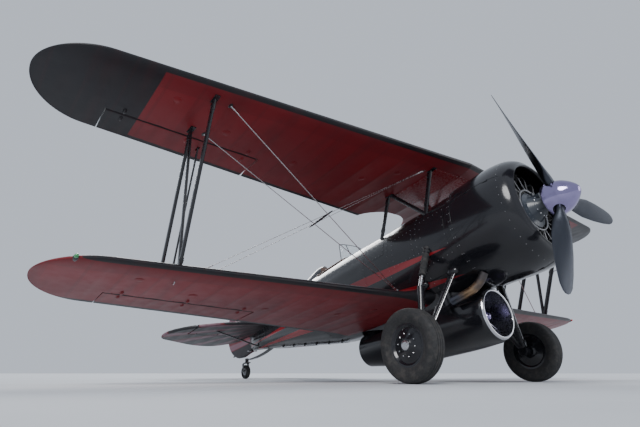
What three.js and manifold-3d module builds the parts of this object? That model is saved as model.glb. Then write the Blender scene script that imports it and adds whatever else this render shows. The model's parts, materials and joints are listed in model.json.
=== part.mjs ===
// A taper-wing sport biplane of the late 1920s kind, standing on its three wheels: staggered wings with
// round tips, a round-cowled radial engine with a three-blade propeller and spinner, a jet nacelle under
// the belly, wire-braced wings with N struts, and a wide butterfly-shaped tailplane.
//
// Everything is drawn in level flight axes, in millimetres: +X forward, +Y to the pilot's left, +Z up,
// with x = 0 at the spinner's tip and z = 0 on the propeller's axis. One group then turns the whole
// aircraft nose up, as it parks, and sets it on the floor. Each moving body is a group that stands at its
// hinge, with the group's +Y along the hinge's axis.

import * as THREE from "three";
import { mergeVertices } from "three/addons/utils/BufferGeometryUtils.js";
import Module from "manifold-3d";

const wasm = await Module();
wasm.setup();

// Driving dimensions, in millimetres and degrees

const GAP = 0.4; // free space kept where two pieces meet
const PARK_PITCH = 12; // nose up, on three wheels

const ROOT_CHORD = 1670; // of both wings, where they cross the middle
const LEADING_SWEEP = 0.105; // mm back for each mm outboard
const TRAILING_SWEEP = 0.05; // mm forward for each mm outboard
const DIHEDRAL = 2;
const TIP_LENGTH = 530; // the round end of each wing
const ROOT_THICKNESS = 0.115; // of the chord
const TIP_THICKNESS = 0.095;
const CAMBER = 0.022;
const CAMBER_PLACE = 0.38;
const TRAILING_EDGE = 5;

const UPPER = { semiSpan: 4610, root: 1, leadX: -1035, z: 905, aileronIn: 2330, aileronOut: 3960 };
const LOWER = { semiSpan: 4290, root: 240, leadX: -1855, z: -545, aileronIn: 2010, aileronOut: 3640 };
const AILERON_SHARE = 0.29; // of the local chord
const AILERON_GAP = 22; // free space at an aileron's ends
const NOSE_GAP = 8; // free space ahead of a control surface's round nose
const FRONT_SPAR = 0.15; // of the local chord
const REAR_SPAR = 0.6;
const STRUT_Y = 3170; // interplane struts
const LINK_Y = 2980; // rods between upper and lower ailerons
const LINK_ARM = 115; // from each aileron's hinge line back to the rod's pin
// The slot round a rod's pin. It is depth deep up to step, and shelf deep from there to lean, where the rod leans.
const LINK_SLOT = { back: 17, step: 20, lean: 64, width: 28, depth: 14, shelf: 2 };
const LINK_PIN = 4.5;

const COWL_RADIUS = 628;
const COWL_FRONT = -410;
const COWL_REAR = -1190;
const PROP_RADIUS = 1270;
const PROP_X = -235;
const SPINNER_RADIUS = 185;
const SPINNER_LENGTH = 325;

const FIREWALL_X = -1200;
const COCKPIT = { front: -3240, rear: -4010, halfWidth: 285, floor: -330 };

const NACELLE = { lipX: -1270, exitX: -3330, z: -900, lip: 262, widest: 318, exit: 205, tilt: 3 };

const MAIN_AXLE = { x: -1640, y: 1100, z: -1190 };
const MAIN_TYRE = { radius: 360, width: 190, rim: 205 };
const TAIL_AXLE = { x: -6745 };
const TAIL_TYRE = { radius: 125, width: 78, rim: 62 };
const WHEEL_SIDES = 28;
const TAIL_WHEEL_SIDES = 20;

const TAIL_Z = 200; // tailplane's middle
const ELEVATOR_HINGE_X = -6260;
const RUDDER_HINGE_X = -6450;
const TAIL_THICKNESS = 56;
const HORN_Y = 1360; // outboard of this the elevator reaches the leading edge
const HORN_GAP = 30;

// Materials

const paint = (colour, roughness = 0.35, metalness = 0) =>
  new THREE.MeshStandardMaterial({ color: colour, roughness, metalness });
const MATERIALS = {
  redFabric: paint(0x7a0f12, 0.4),
  blackPaint: paint(0x111114, 0.3),
  darkMetal: paint(0x3a3b40, 0.4, 0.9),
  steel: paint(0xb9bcc2, 0.3, 1),
  chrome: paint(0xd8dade, 0.12, 1),
  rubber: paint(0x141414, 0.85),
  leather: paint(0x2b1a12, 0.6),
  glass: new THREE.MeshStandardMaterial({ color: 0xcfe0e8, roughness: 0.05, transparent: true, opacity: 0.35 }),
};

// Shape helpers

const point = (x, y, z) => new THREE.Vector3(x, y, z);
const radians = THREE.MathUtils.degToRad;
const mix = THREE.MathUtils.lerp;

// A closed geometry through rings of equal point count, capped at both ends. Where isFlipped(i) holds,
// the faces between points i and i + 1 are split along the other diagonal.
function loft(rings, isFlipped = () => false) {
  const count = rings[0].length;
  const positions = rings.flat().flatMap((p) => [p.x, p.y, p.z]);
  const index = [];
  for (let r = 0; r < rings.length - 1; r++) {
    for (let i = 0; i < count; i++) {
      const a = r * count + i;
      const b = r * count + ((i + 1) % count);
      if (isFlipped(i)) index.push(a, b, a + count, b, b + count, a + count);
      else index.push(a, b, b + count, a, b + count, a + count);
    }
  }
  capTriangles(rings[0]).forEach(([a, b, c]) => index.push(c, b, a));
  const last = (rings.length - 1) * count;
  capTriangles(rings.at(-1)).forEach(([a, b, c]) => index.push(last + a, last + b, last + c));
  const geometry = new THREE.BufferGeometry();
  geometry.setAttribute("position", new THREE.Float32BufferAttribute(positions, 3));
  geometry.setIndex(index);
  return geometry;
}

// The triangles that fill a flat ring, each in the ring's own order.
function capTriangles(ring) {
  const normal = point(0, 0, 0);
  ring.forEach((p, i) => normal.add(p.clone().cross(ring[(i + 1) % ring.length])));
  normal.normalize();
  const across = ring[1].clone().sub(ring[0]).normalize();
  const up = normal.clone().cross(across);
  const flat = ring.map((p) => new THREE.Vector2(p.dot(across), p.dot(up)));
  return THREE.ShapeUtils.triangulateShape(flat, []).map((t) => [...t].sort((a, b) => a - b));
}

// A closed geometry as a solid that can be joined and cut.
function solid(geometry) {
  const plain = new THREE.BufferGeometry();
  plain.setAttribute("position", geometry.getAttribute("position"));
  plain.setIndex(geometry.index);
  const merged = mergeVertices(plain, 1e-3);
  const vertProperties = new Float32Array(merged.attributes.position.array);
  const triVerts = new Uint32Array(merged.index.array);
  let made = new wasm.Manifold(new wasm.Mesh({ numProp: 3, vertProperties, triVerts }));
  if (made.volume() < 0) {
    for (let i = 0; i < triVerts.length; i += 3) {
      [triVerts[i + 1], triVerts[i + 2]] = [triVerts[i + 2], triVerts[i + 1]];
    }
    made = new wasm.Manifold(new wasm.Mesh({ numProp: 3, vertProperties, triVerts }));
  }
  return made;
}

const join = (...solids) => solids.reduce((a, b) => a.add(b));
const cut = (body, ...tools) => tools.reduce((a, b) => a.subtract(b), body);

// A named mesh of a solid.
function piece(name, body, material) {
  const mesh = body.getMesh();
  const geometry = new THREE.BufferGeometry();
  const positions = new Float32Array(mesh.numVert * 3);
  for (let i = 0; i < mesh.numVert; i++) {
    positions.set(mesh.vertProperties.subarray(i * mesh.numProp, i * mesh.numProp + 3), i * 3);
  }
  geometry.setAttribute("position", new THREE.BufferAttribute(positions, 3));
  geometry.setIndex(new THREE.BufferAttribute(new Uint32Array(mesh.triVerts), 1));
  geometry.computeVertexNormals();
  const made = new THREE.Mesh(geometry, MATERIALS[material]);
  made.name = name;
  return made;
}

// A box between two corners.
function box(low, high) {
  const size = high.clone().sub(low);
  const middle = low.clone().add(high).multiplyScalar(0.5);
  return solid(new THREE.BoxGeometry(size.x, size.y, size.z).translate(middle.x, middle.y, middle.z));
}

// A round bar from one point to another, with its own radius at each end.
function bar(from, to, radius, endRadius = radius, sides = 10) {
  const along = to.clone().sub(from);
  const geometry = new THREE.CylinderGeometry(endRadius, radius, along.length(), sides);
  const turn = new THREE.Quaternion().setFromUnitVectors(point(0, 1, 0), along.clone().normalize());
  const middle = from.clone().add(to).multiplyScalar(0.5);
  return solid(geometry.applyQuaternion(turn).translate(middle.x, middle.y, middle.z));
}

// A streamlined strut: chord lies fore and aft, thickness across.
function strut(from, to, chord, thickness, sides = 8) {
  const along = to.clone().sub(from).normalize();
  const across = along.clone().cross(point(1, 0, 0)).normalize();
  const fore = across.clone().cross(along).normalize();
  const ring = (centre) =>
    Array.from({ length: sides }, (_, i) => {
      const angle = (2 * Math.PI * i) / sides;
      const back = Math.cos(angle) < 0 ? 1.25 : 0.75;
      return centre
        .clone()
        .addScaledVector(fore, 0.5 * chord * back * Math.cos(angle))
        .addScaledVector(across, 0.5 * thickness * Math.sin(angle));
    });
  return solid(loft([ring(from), ring(to)]));
}

// A solid of revolution about a line along +X through (0, y, z): profile rows are [x, radius].
function turned(profile, y, z, sides) {
  const geometry = new THREE.LatheGeometry(
    profile.map(([x, radius]) => new THREE.Vector2(radius, x)),
    sides,
  );
  geometry.rotateZ(-Math.PI / 2).translate(0, y, z);
  return solid(geometry);
}

// The same about a line along +Y through (x, 0, z): profile rows are [y, radius], turn sets where a flat is.
function turnedAcross(profile, x, z, sides, turn) {
  const geometry = new THREE.LatheGeometry(
    profile.map(([y, radius]) => new THREE.Vector2(radius, y)),
    sides,
  );
  geometry.rotateY(turn).translate(x, 0, z);
  return solid(geometry);
}

// Wings

const wingChord = (y) => ROOT_CHORD - (LEADING_SWEEP + TRAILING_SWEEP) * y;
const rise = (wing, y) => wing.z + y * Math.tan(radians(DIHEDRAL));
// The point at a share of the local chord, on the chord line.
const chordPoint = (wing, y, share) =>
  point(wing.leadX - LEADING_SWEEP * y - share * wingChord(y), y, rise(wing, y));
const thicknessShare = (wing, y) => mix(ROOT_THICKNESS, TIP_THICKNESS, y / wing.semiSpan);

// Half the thickness of a four-digit section of unit thickness.
const halfThickness = (s) =>
  5 * (0.2969 * Math.sqrt(s) - 0.126 * s - 0.3516 * s ** 2 + 0.2843 * s ** 3 - 0.1015 * s ** 4);
const camberLine = (s) =>
  s < CAMBER_PLACE
    ? (CAMBER / CAMBER_PLACE ** 2) * (2 * CAMBER_PLACE * s - s * s)
    : (CAMBER / (1 - CAMBER_PLACE) ** 2) * (1 - 2 * CAMBER_PLACE + 2 * CAMBER_PLACE * s - s * s);
const SECTION_SHARES = [1, 0.85, 0.7, 0.5, 0.32, 0.17, 0.07, 0.018];

// The closed outline of the wing's section at y; shrink narrows the chord for the round tip.
function wingSection(wing, y, shrink = 1) {
  const full = wingChord(y);
  const chord = full * shrink;
  const lead = chordPoint(wing, y, 0).x - 0.46 * (full - chord);
  const thick = thicknessShare(wing, y) * mix(0.55, 1, shrink);
  const at = (s, side) => {
    const half = Math.max(thick * halfThickness(s) * chord, 0.5 * TRAILING_EDGE);
    return point(lead - s * chord, y, rise(wing, y) + camberLine(s) * chord + side * half);
  };
  const top = SECTION_SHARES.map((s) => at(s, 1));
  const under = SECTION_SHARES.toReversed().map((s) => at(s, -1));
  const nose = point(lead, y, rise(wing, y));
  return [...top, nose, ...under];
}

const TIP_STEPS = [0, 0.35, 0.6, 0.8, 0.93, 0.995]; // shares of the round tip's length
// The lower wing's fairing into the fuselage. Columns: y, chord factor, thickness factor.
const ROOT_FAIRING = [
  [240, 1.17, 1.75],
  [420, 1.12, 1.5],
  [520, 1.055, 1.22],
  [620, 1.015, 1.06],
  [720, 1, 1],
];

// A wing section made longer, a third of that ahead, and thicker.
function fairedSection(wing, [y, longer, thicker]) {
  const nose = chordPoint(wing, y, 0);
  const ahead = 0.35 * (longer - 1) * wingChord(y);
  return wingSection(wing, y).map((p) =>
    point(nose.x + ahead + (p.x - nose.x) * longer, y, nose.z + (p.z - nose.z) * thicker),
  );
}

function wingSolid(wing) {
  const tipStart = wing.semiSpan - TIP_LENGTH;
  const plain = [wingSection(wing, wing.root)];
  const root = wing === LOWER ? ROOT_FAIRING.map((row) => fairedSection(wing, row)) : plain;
  const rings = [...root, wingSection(wing, wing.aileronIn)];
  for (const step of TIP_STEPS) {
    rings.push(wingSection(wing, tipStart + step * TIP_LENGTH, Math.sqrt(1 - step * step)));
  }
  return solid(loft(rings));
}

// The aileron's hinge line runs on the section's middle, from its inboard to its outboard end.
function aileronHinge(wing) {
  const share = 1 - AILERON_SHARE;
  const at = (y) => chordPoint(wing, y, share).add(point(0, 0, camberLine(share) * wingChord(y)));
  const from = at(wing.aileronIn);
  const to = at(wing.aileronOut);
  const radius = (y) => 0.94 * thicknessShare(wing, y) * halfThickness(share) * wingChord(y);
  return { from, to, inRadius: radius(wing.aileronIn), outRadius: radius(wing.aileronOut) };
}

// A block behind a hinge line, between two spanwise places: forward is how far it reaches ahead.
function hingeBlock(hinge, inY, outY, forward) {
  const slope = (hinge.to.x - hinge.from.x) / (hinge.to.y - hinge.from.y);
  const edge = (y) => hinge.from.x + slope * (y - hinge.from.y) + forward;
  const corners = (y) => {
    const z = mix(hinge.from.z, hinge.to.z, (y - hinge.from.y) / (hinge.to.y - hinge.from.y));
    return [
      point(edge(y), y, z - 200),
      point(edge(y), y, z + 200),
      point(edge(y) - 900, y, z + 200),
      point(edge(y) - 900, y, z - 200),
    ];
  };
  return solid(loft([corners(inY), corners(outY)]));
}

// The fixed wing and its aileron, for the left side.
function wingPieces(wing) {
  const whole = wingSolid(wing);
  const hinge = aileronHinge(wing);
  const pocket = hingeBlock(hinge, wing.aileronIn, wing.aileronOut, hinge.inRadius + NOSE_GAP);
  const flap = hingeBlock(hinge, wing.aileronIn + AILERON_GAP, wing.aileronOut - AILERON_GAP, 0);
  const along = hinge.to.clone().sub(hinge.from).normalize();
  const nose = bar(
    hinge.from.clone().addScaledVector(along, AILERON_GAP),
    hinge.to.clone().addScaledVector(along, -AILERON_GAP),
    hinge.inRadius,
    hinge.outRadius,
  );
  return { fixed: cut(whole, pocket), aileron: join(whole.intersect(flap), nose), hinge, whole };
}

const mirrored = (body) => body.mirror([0, 1, 0]);
const onSide = (body, side) => (side > 0 ? body : mirrored(body));
const sideName = (side) => (side > 0 ? "left" : "right");

const upperWing = wingPieces(UPPER);
const lowerWing = wingPieces(LOWER);
const CUTOUT = { x: -2860, radius: 470 }; // in the upper wing's trailing edge, over the cockpit

// Fuselage. Columns: station x, half width, top, bottom, squareness of the section.
const FUSELAGE_STATIONS = [
  [FIREWALL_X, 585, 585, -595, 2.0],
  [-1700, 572, 575, -615, 2.1],
  [-2500, 548, 560, -620, 2.3],
  [-3240, 505, 560, -605, 2.5],
  [-3800, 458, 560, -555, 2.5],
  [-4060, 425, 570, -505, 2.4],
  [-4700, 345, 480, -370, 2.3],
  [-5500, 250, 390, -205, 2.2],
  [-6200, 150, 330, -70, 2.1],
  [-6400, 75, 305, -35, 2.0],
];
const FUSELAGE_SIDES = 24;

// The fuselage's outer body, or the same grown all round so that neighbours stop short of it.
function fuselageBody(grow = 0) {
  const rings = FUSELAGE_STATIONS.map(([x, halfWidth, top, bottom, square], row) => {
    const middle = (top + bottom) / 2;
    const halfHeight = (top - bottom) / 2 + grow;
    const end = row === 0 ? grow : row === FUSELAGE_STATIONS.length - 1 ? -grow : 0;
    return Array.from({ length: FUSELAGE_SIDES }, (_, i) => {
      const angle = (2 * Math.PI * i) / FUSELAGE_SIDES;
      const bend = (value) => Math.sign(value) * Math.abs(value) ** (2 / square);
      const across = (halfWidth + grow) * bend(Math.cos(angle));
      return point(x + end, across, middle + halfHeight * bend(Math.sin(angle)));
    });
  });
  const isRightHalf = (i) => Math.cos((2 * Math.PI * (i + 0.5)) / FUSELAGE_SIDES) < 0;
  return solid(loft(rings, isRightHalf));
}
const fuselageOuter = fuselageBody();
const fuselageKeepOut = fuselageBody(GAP);

function cockpitCavity() {
  const { front, rear, halfWidth, floor } = COCKPIT;
  const plan = new THREE.Shape();
  const corner = 170;
  plan.moveTo(rear + corner, -halfWidth);
  plan.lineTo(front - corner, -halfWidth);
  plan.quadraticCurveTo(front, -halfWidth, front, 0);
  plan.quadraticCurveTo(front, halfWidth, front - corner, halfWidth);
  plan.lineTo(rear + corner, halfWidth);
  plan.quadraticCurveTo(rear, halfWidth, rear, 0);
  plan.quadraticCurveTo(rear, -halfWidth, rear + corner, -halfWidth);
  const geometry = new THREE.ExtrudeGeometry(plan, { depth: 1200, bevelEnabled: false, curveSegments: 4 });
  return solid(geometry.translate(0, 0, floor));
}

// The fairing behind the pilot's head. Columns: x, half width, top.
const HEADREST = [
  [-4035, 118, 742],
  [-4120, 128, 756],
  [-4400, 122, 700],
  [-4900, 84, 560],
  [-5420, 26, 420],
];
function headrest(grow = 0) {
  const sides = 14;
  const rings = HEADREST.map(([x, halfWidth, top], row) =>
    Array.from({ length: sides }, (_, i) => {
      const angle = (2 * Math.PI * i) / sides;
      const rise = Math.sin(angle) > 0 ? (top - 400 + grow) * Math.sin(angle) ** 0.8 : 160 * Math.sin(angle);
      return point(x + (row === 0 ? grow : 0), (halfWidth + grow) * Math.cos(angle), 400 + rise);
    }),
  );
  return solid(loft(rings, (i) => Math.cos((2 * Math.PI * (i + 0.5)) / sides) < 0));
}

const TUBE_BORE = 42; // where the elevators' torque tube crosses the tail
const fuselage = cut(
  join(fuselageOuter, headrest()),
  cockpitCavity(),
  bar(point(ELEVATOR_HINGE_X, -400, TAIL_Z), point(ELEVATOR_HINGE_X, 400, TAIL_Z), TUBE_BORE),
);

// Nose

const COWL_WALL = 16;
const cowling = turned(
  [
    [COWL_FRONT, 500],
    [COWL_FRONT - 40, 560],
    [COWL_FRONT - 130, 606],
    [COWL_FRONT - 290, COWL_RADIUS],
    [COWL_REAR, 612],
    [COWL_REAR, 612 - COWL_WALL],
    [COWL_FRONT - 290, COWL_RADIUS - COWL_WALL],
    [COWL_FRONT - 60, 500],
    [COWL_FRONT - 28, 472],
    [COWL_FRONT, 500],
  ].toReversed(),
  0,
  0,
  32,
);

const CYLINDER_COUNT = 9;
const CYLINDER_X = -690;
// A finned cylinder's rows. Columns: distance from the crankshaft, radius at it.
const CYLINDER_PROFILE = [
  [210, 0],
  [210, 86],
  [300, 86],
  [306, 100],
  [318, 86],
  [340, 86],
  [346, 101],
  [358, 86],
  [380, 86],
  [386, 103],
  [398, 86],
  [420, 92],
  [426, 112],
  [530, 104],
  [560, 60],
  [560, 0],
];
const ROCKER = { side: 58, out: 505, front: -640, back: -735, width: 30, height: 26 };
const PUSHROD = { radius: 11, footX: -545, foot: 190, spread: 46 };
const INTAKE_PIPE = { radius: 26, x: -800 };

// A cylinder with its two rocker boxes, pushrod covers and intake pipe, standing along +Z.
function engineCylinder() {
  const geometry = new THREE.LatheGeometry(
    CYLINDER_PROFILE.map(([out, radius]) => new THREE.Vector2(radius, out)),
    10,
  );
  const parts = [solid(geometry.rotateX(Math.PI / 2).translate(CYLINDER_X, 0, 0))];
  for (const side of [-1, 1]) {
    const y = side * ROCKER.side;
    const low = point(ROCKER.back, y - ROCKER.width, ROCKER.out);
    const high = point(ROCKER.front, y + ROCKER.width, ROCKER.out + 2 * ROCKER.height);
    parts.push(box(low, high));
    const foot = point(PUSHROD.footX, side * PUSHROD.spread * 0.6, PUSHROD.foot);
    parts.push(bar(foot, point(ROCKER.front - 18, y, ROCKER.out + 8), PUSHROD.radius, PUSHROD.radius, 6));
  }
  const pipeFoot = point(INTAKE_PIPE.x - 70, 60, 270);
  parts.push(bar(pipeFoot, point(INTAKE_PIPE.x + 45, 48, 500), INTAKE_PIPE.radius, INTAKE_PIPE.radius, 8));
  return join(...parts);
}

function radialEngine() {
  const crankcase = turned(
    [
      [FIREWALL_X + GAP, 0],
      [FIREWALL_X + GAP, 330],
      [-900, 330],
      [-830, 280],
      [-800, 235],
      [-580, 235],
      [-560, 205],
      [-520, 200],
      [-500, 150],
      [-420, 95],
      [-360, 75],
      [-360, 0],
    ],
    0,
    0,
    18,
  );
  const cylinder = engineCylinder();
  const around = (i) => cylinder.rotate([(360 * i) / CYLINDER_COUNT, 0, 0]);
  return join(crankcase, ...Array.from({ length: CYLINDER_COUNT }, (_, i) => around(i)));
}

const SPINNER_WALL = 6;
// Spinner profile: columns are share of its length from the tip, share of its radius.
const SPINNER_PROFILE = [
  [0.1, 0.36],
  [0.25, 0.62],
  [0.45, 0.85],
  [0.7, 0.97],
  [1, 1],
];
const BLADE_COUNT = 3;
const SHANK_RADIUS = 44;
const SHANK_CLEARANCE = 16;

function spinnerShell() {
  const outer = SPINNER_PROFILE.map(([s, r]) => [-s * SPINNER_LENGTH, r * SPINNER_RADIUS]);
  const inner = outer.map(([x, r]) => [Math.min(x, -0.2 * SPINNER_LENGTH), r - SPINNER_WALL]).slice(1);
  const profile = [[0, 0], ...outer, ...inner.toReversed(), [-0.2 * SPINNER_LENGTH, 0]];
  const shell = turned(profile.toReversed(), 0, 0, 20);
  const holes = Array.from({ length: BLADE_COUNT }, (_, i) =>
    bladeTurned(bar(point(PROP_X, 120, 0), point(PROP_X, 260, 0), SHANK_RADIUS + SHANK_CLEARANCE), i),
  );
  return cut(shell, ...holes);
}

// A body drawn along +Y, turned about the propeller's axis to blade i.
const bladeTurned = (body, i) => body.rotate([(360 * i) / BLADE_COUNT, 0, 0]);

// Blade sections. Columns: radius from the axis, chord, thickness, angle from the disc in degrees.
const BLADE_SECTIONS = [
  [70, 88, 88, 50],
  [230, 92, 84, 50],
  [360, 150, 44, 44],
  [560, 196, 27, 35],
  [800, 196, 19, 27],
  [1030, 170, 14, 22],
  [1180, 132, 10, 19],
  [1245, 84, 8, 18],
  [PROP_RADIUS, 34, 6, 18],
];

function propellerBlades() {
  const rings = BLADE_SECTIONS.map(([radius, chord, thickness, angle]) => {
    const sides = 8;
    const tilt = radians(angle);
    return Array.from({ length: sides }, (_, i) => {
      const turn = (2 * Math.PI * i) / sides;
      const u = 0.5 * chord * Math.cos(turn);
      const v = 0.5 * thickness * Math.sin(turn);
      return point(
        PROP_X + u * Math.sin(tilt) - v * Math.cos(tilt),
        radius,
        u * Math.cos(tilt) + v * Math.sin(tilt),
      );
    });
  });
  const blade = solid(loft(rings));
  const hub = bar(point(PROP_X + 90, 0, 0), point(-340, 0, 0), 105, 105, 18);
  const blades = Array.from({ length: BLADE_COUNT }, (_, i) => bladeTurned(blade, i));
  return join(hub, ...blades);
}

// Jet nacelle under the belly

// A solid of revolution about the nacelle's own axis, whose tail rises.
function turnedNacelle(profile, sides) {
  const { lipX, z, tilt } = NACELLE;
  return turned(profile, 0, 0, sides).translate([-lipX, 0, 0]).rotate([0, tilt, 0]).translate([lipX, 0, z]);
}

// The fairing between the nacelle and the belly. Columns: x, half width at the belly, half width below.
const SADDLE = [
  [-1420, 60, 60],
  [-1620, 250, 220],
  [-2050, 330, 300],
  [-2700, 320, 270],
  [-3250, 190, 120],
  [-3460, 60, 50],
];
function saddle(grow = 0) {
  const { lipX, z, tilt } = NACELLE;
  const rings = SADDLE.map(([x, above, below], row) => {
    const end = row === 0 ? grow : row === SADDLE.length - 1 ? -grow : 0;
    const middle = z + (lipX - x) * Math.sin(radians(tilt));
    return [
      point(x + end, -above - grow, -520),
      point(x + end, above + grow, -520),
      point(x + end, below + grow, Math.min(middle + 40, -700)),
      point(x + end, -below - grow, Math.min(middle + 40, -700)),
    ];
  });
  return solid(loft(rings, (i) => i === 1));
}

function nacelleShell() {
  const { lipX, exitX, lip, widest, exit } = NACELLE;
  const profile = [
    [lipX - 4, lip - 14],
    [lipX, lip],
    [lipX - 16, lip + 20],
    [lipX - 90, lip + 42],
    [lipX - 360, widest],
    [lipX - 1250, widest - 6],
    [lipX - 1700, exit + 62],
    [exitX, exit + 8],
    [exitX, exit],
    [lipX - 1250, 246],
    [lipX - 360, 246],
    [lipX - 4, lip - 14],
  ];
  const inside = turnedNacelle(
    [
      [exitX - 10, 0],
      [exitX - 10, exit + 4],
      [lipX - 1250, 250],
      [lipX, 250],
      [lipX, 0],
    ],
    28,
  );
  const fairing = cut(saddle(), inside);
  return cut(join(turnedNacelle(profile.toReversed(), 32), fairing), fuselageKeepOut);
}

function jetEngine() {
  const { lipX } = NACELLE;
  const core = [
    [lipX - 110, 0],
    [lipX - 135, 40],
    [lipX - 200, 74],
    [lipX - 380, 92],
    [lipX - 380, 205],
    [lipX - 1240, 205],
    [lipX - 1240, 100],
    [lipX - 1500, 60],
    [lipX - 1640, 0],
  ];
  return turnedNacelle(core.toReversed(), 18);
}

function exhaustStack() {
  const curve = new THREE.CatmullRomCurve3([
    point(-1120, -300, -520),
    point(-1215, -318, -618),
    point(-1330, -350, -672),
    point(-1560, -372, -705),
  ]);
  const ring = new THREE.Shape().absarc(0, 0, 46, 0, 2 * Math.PI);
  const geometry = new THREE.ExtrudeGeometry(ring, { steps: 8, extrudePath: curve, curveSegments: 6 });
  return cut(solid(geometry), fuselageKeepOut, cowlKeepOut, nacelleKeepOut);
}
const cowlKeepOut = turned(
  [
    [COWL_REAR - GAP, 0],
    [COWL_REAR - GAP, 640],
    [COWL_FRONT, 640],
    [COWL_FRONT, 0],
  ],
  0,
  0,
  32,
);
// The whole space that the nacelle takes up, for the pieces beside it.
const nacelleKeepOut = join(
  turnedNacelle(
    [
      [NACELLE.exitX, 0],
      [NACELLE.exitX, NACELLE.widest + 3],
      [NACELLE.lipX, NACELLE.widest + 3],
      [NACELLE.lipX, 0],
    ],
    32,
  ),
  saddle(GAP),
);

// Struts and wires

// A wing solid with itself moved a little, so that what is cut by it stops short.
const upperKeepOut = join(upperWing.whole, upperWing.whole.translate([0, 0, -GAP]));
const lowerKeepOut = join(lowerWing.whole, lowerWing.whole.translate([0, 0, GAP]));

// An N of three struts between four points, cut short of the wings.
function nStrut(topFront, topRear, lowFront, lowRear, chord, thickness, keepOut) {
  const bars = [
    strut(topFront, lowFront, chord, thickness),
    strut(topRear, lowRear, chord, thickness),
    strut(topRear, lowFront, 0.8 * chord, 0.8 * thickness),
  ];
  return cut(join(...bars), ...keepOut);
}

function interplaneStrut() {
  const at = (wing, share) => chordPoint(wing, STRUT_Y, share);
  return nStrut(
    at(UPPER, FRONT_SPAR),
    at(UPPER, REAR_SPAR),
    at(LOWER, FRONT_SPAR),
    at(LOWER, REAR_SPAR),
    70,
    30,
    [upperKeepOut, lowerKeepOut],
  );
}

const CABANE_TOP_Y = 430;
const CABANE_FOOT = { frontX: -1560, rearX: -2330, y: 430, z: 380 };

function cabaneStrut() {
  const { frontX, rearX, y, z } = CABANE_FOOT;
  const top = (share) => chordPoint(UPPER, CABANE_TOP_Y, share);
  return nStrut(top(FRONT_SPAR), top(REAR_SPAR), point(frontX, y, z), point(rearX, y, z), 62, 28, [
    upperKeepOut,
    fuselageKeepOut,
  ]);
}

const WIRE = { chord: 11, thickness: 5 };

// Two wires that part from one fitting.
function wirePair(fitting, front, rear, keepOut) {
  const wires = [front, rear].map((end) => strut(fitting, end, WIRE.chord, WIRE.thickness, 6));
  const plate = box(fitting.clone().sub(point(26, 7, 9)), fitting.clone().add(point(26, 7, 9)));
  return cut(join(...wires, plate), ...keepOut);
}

function flyingWires() {
  const fitting = chordPoint(LOWER, 620, FRONT_SPAR).add(point(60, 0, 105));
  const end = (share) => chordPoint(UPPER, STRUT_Y - 90, share);
  return wirePair(fitting, end(FRONT_SPAR), end(REAR_SPAR), [upperKeepOut, lowerKeepOut, fuselageKeepOut]);
}

function landingWires() {
  const behind = point(-60, 0, 0); // keeps them off the flying wires that they cross
  const fitting = chordPoint(UPPER, CABANE_TOP_Y + 80, FRONT_SPAR).add(point(-60, 0, -55));
  const end = (share) => chordPoint(LOWER, STRUT_Y - 90, share).add(behind);
  return wirePair(fitting, end(FRONT_SPAR), end(REAR_SPAR), [upperKeepOut, lowerKeepOut]);
}

// Where the rod's pin crosses an aileron.
function linkPin({ hinge }) {
  const share = (LINK_Y - hinge.from.y) / (hinge.to.y - hinge.from.y);
  return hinge.from.clone().lerp(hinge.to, share).add(point(-LINK_ARM, 0, 0));
}

const pinAt = (at, radius) => {
  const reach = point(0, LINK_SLOT.width / 2 + 6, 0);
  return bar(at.clone().sub(reach), at.clone().add(reach), radius);
};

// The aileron with a slot and a pin for the rod, which leaves it downward or upward.
function slottedAileron(wing, leaves) {
  const at = linkPin(wing);
  const { back, step, lean, width, depth, shelf } = LINK_SLOT;
  const room = (start, end, bottom) => {
    const a = point(leaves * start, -width / 2, -leaves * bottom);
    const b = point(leaves * end, width / 2, leaves * 200);
    return box(a.clone().min(b).add(at), a.clone().max(b).add(at));
  };
  return join(cut(wing.aileron, room(-back, step, depth), room(step - 1, lean, shelf)), pinAt(at, LINK_PIN));
}

// The rod between an upper and a lower aileron.
function aileronLink() {
  const top = linkPin(upperWing);
  const foot = linkPin(lowerWing);
  const along = foot.clone().sub(top).normalize();
  const body = strut(top.clone().addScaledVector(along, 98), foot.clone().addScaledVector(along, -98), 38, 18);
  return cut(join(bar(top, foot, 8, 8, 8), body), pinAt(top, LINK_PIN + 0.8), pinAt(foot, LINK_PIN + 0.8));
}

// Main landing gear

const APEX = point(MAIN_AXLE.x, MAIN_AXLE.y - 165, MAIN_AXLE.z);
const AXLE_RADIUS = 28;
const HUB_BORE = 31;

function gearLeg() {
  // Columns: end inside the fuselage, chord, thickness.
  const legs = [
    [point(-1390, 405, -375), 74, 34],
    [point(-1850, 410, -385), 66, 30],
  ].map(([end, chord, thickness]) => strut(APEX, end, chord, thickness));
  const shock = [
    bar(APEX, point(-1600, 800, -560), 36, 36),
    bar(point(-1604, 812, -586), point(-1575, 545, -60), 27, 27),
  ];
  const axle = bar(APEX, point(MAIN_AXLE.x, MAIN_AXLE.y + 92, MAIN_AXLE.z), AXLE_RADIUS, AXLE_RADIUS, 16);
  const knuckle = bar(APEX.clone().add(point(0, -45, 0)), APEX.clone().add(point(0, 50, 0)), 58, 58, 14);
  return cut(join(...legs, ...shock, axle, knuckle), fuselageKeepOut);
}

// A wheel stands with one flat of its many sides on the floor, whatever the aircraft's pitch.
const flatTurn = (sides) => radians(PARK_PITCH) + Math.PI / sides;
const standingRadius = (tyre, sides) => tyre.radius * Math.cos(Math.PI / sides);

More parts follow.
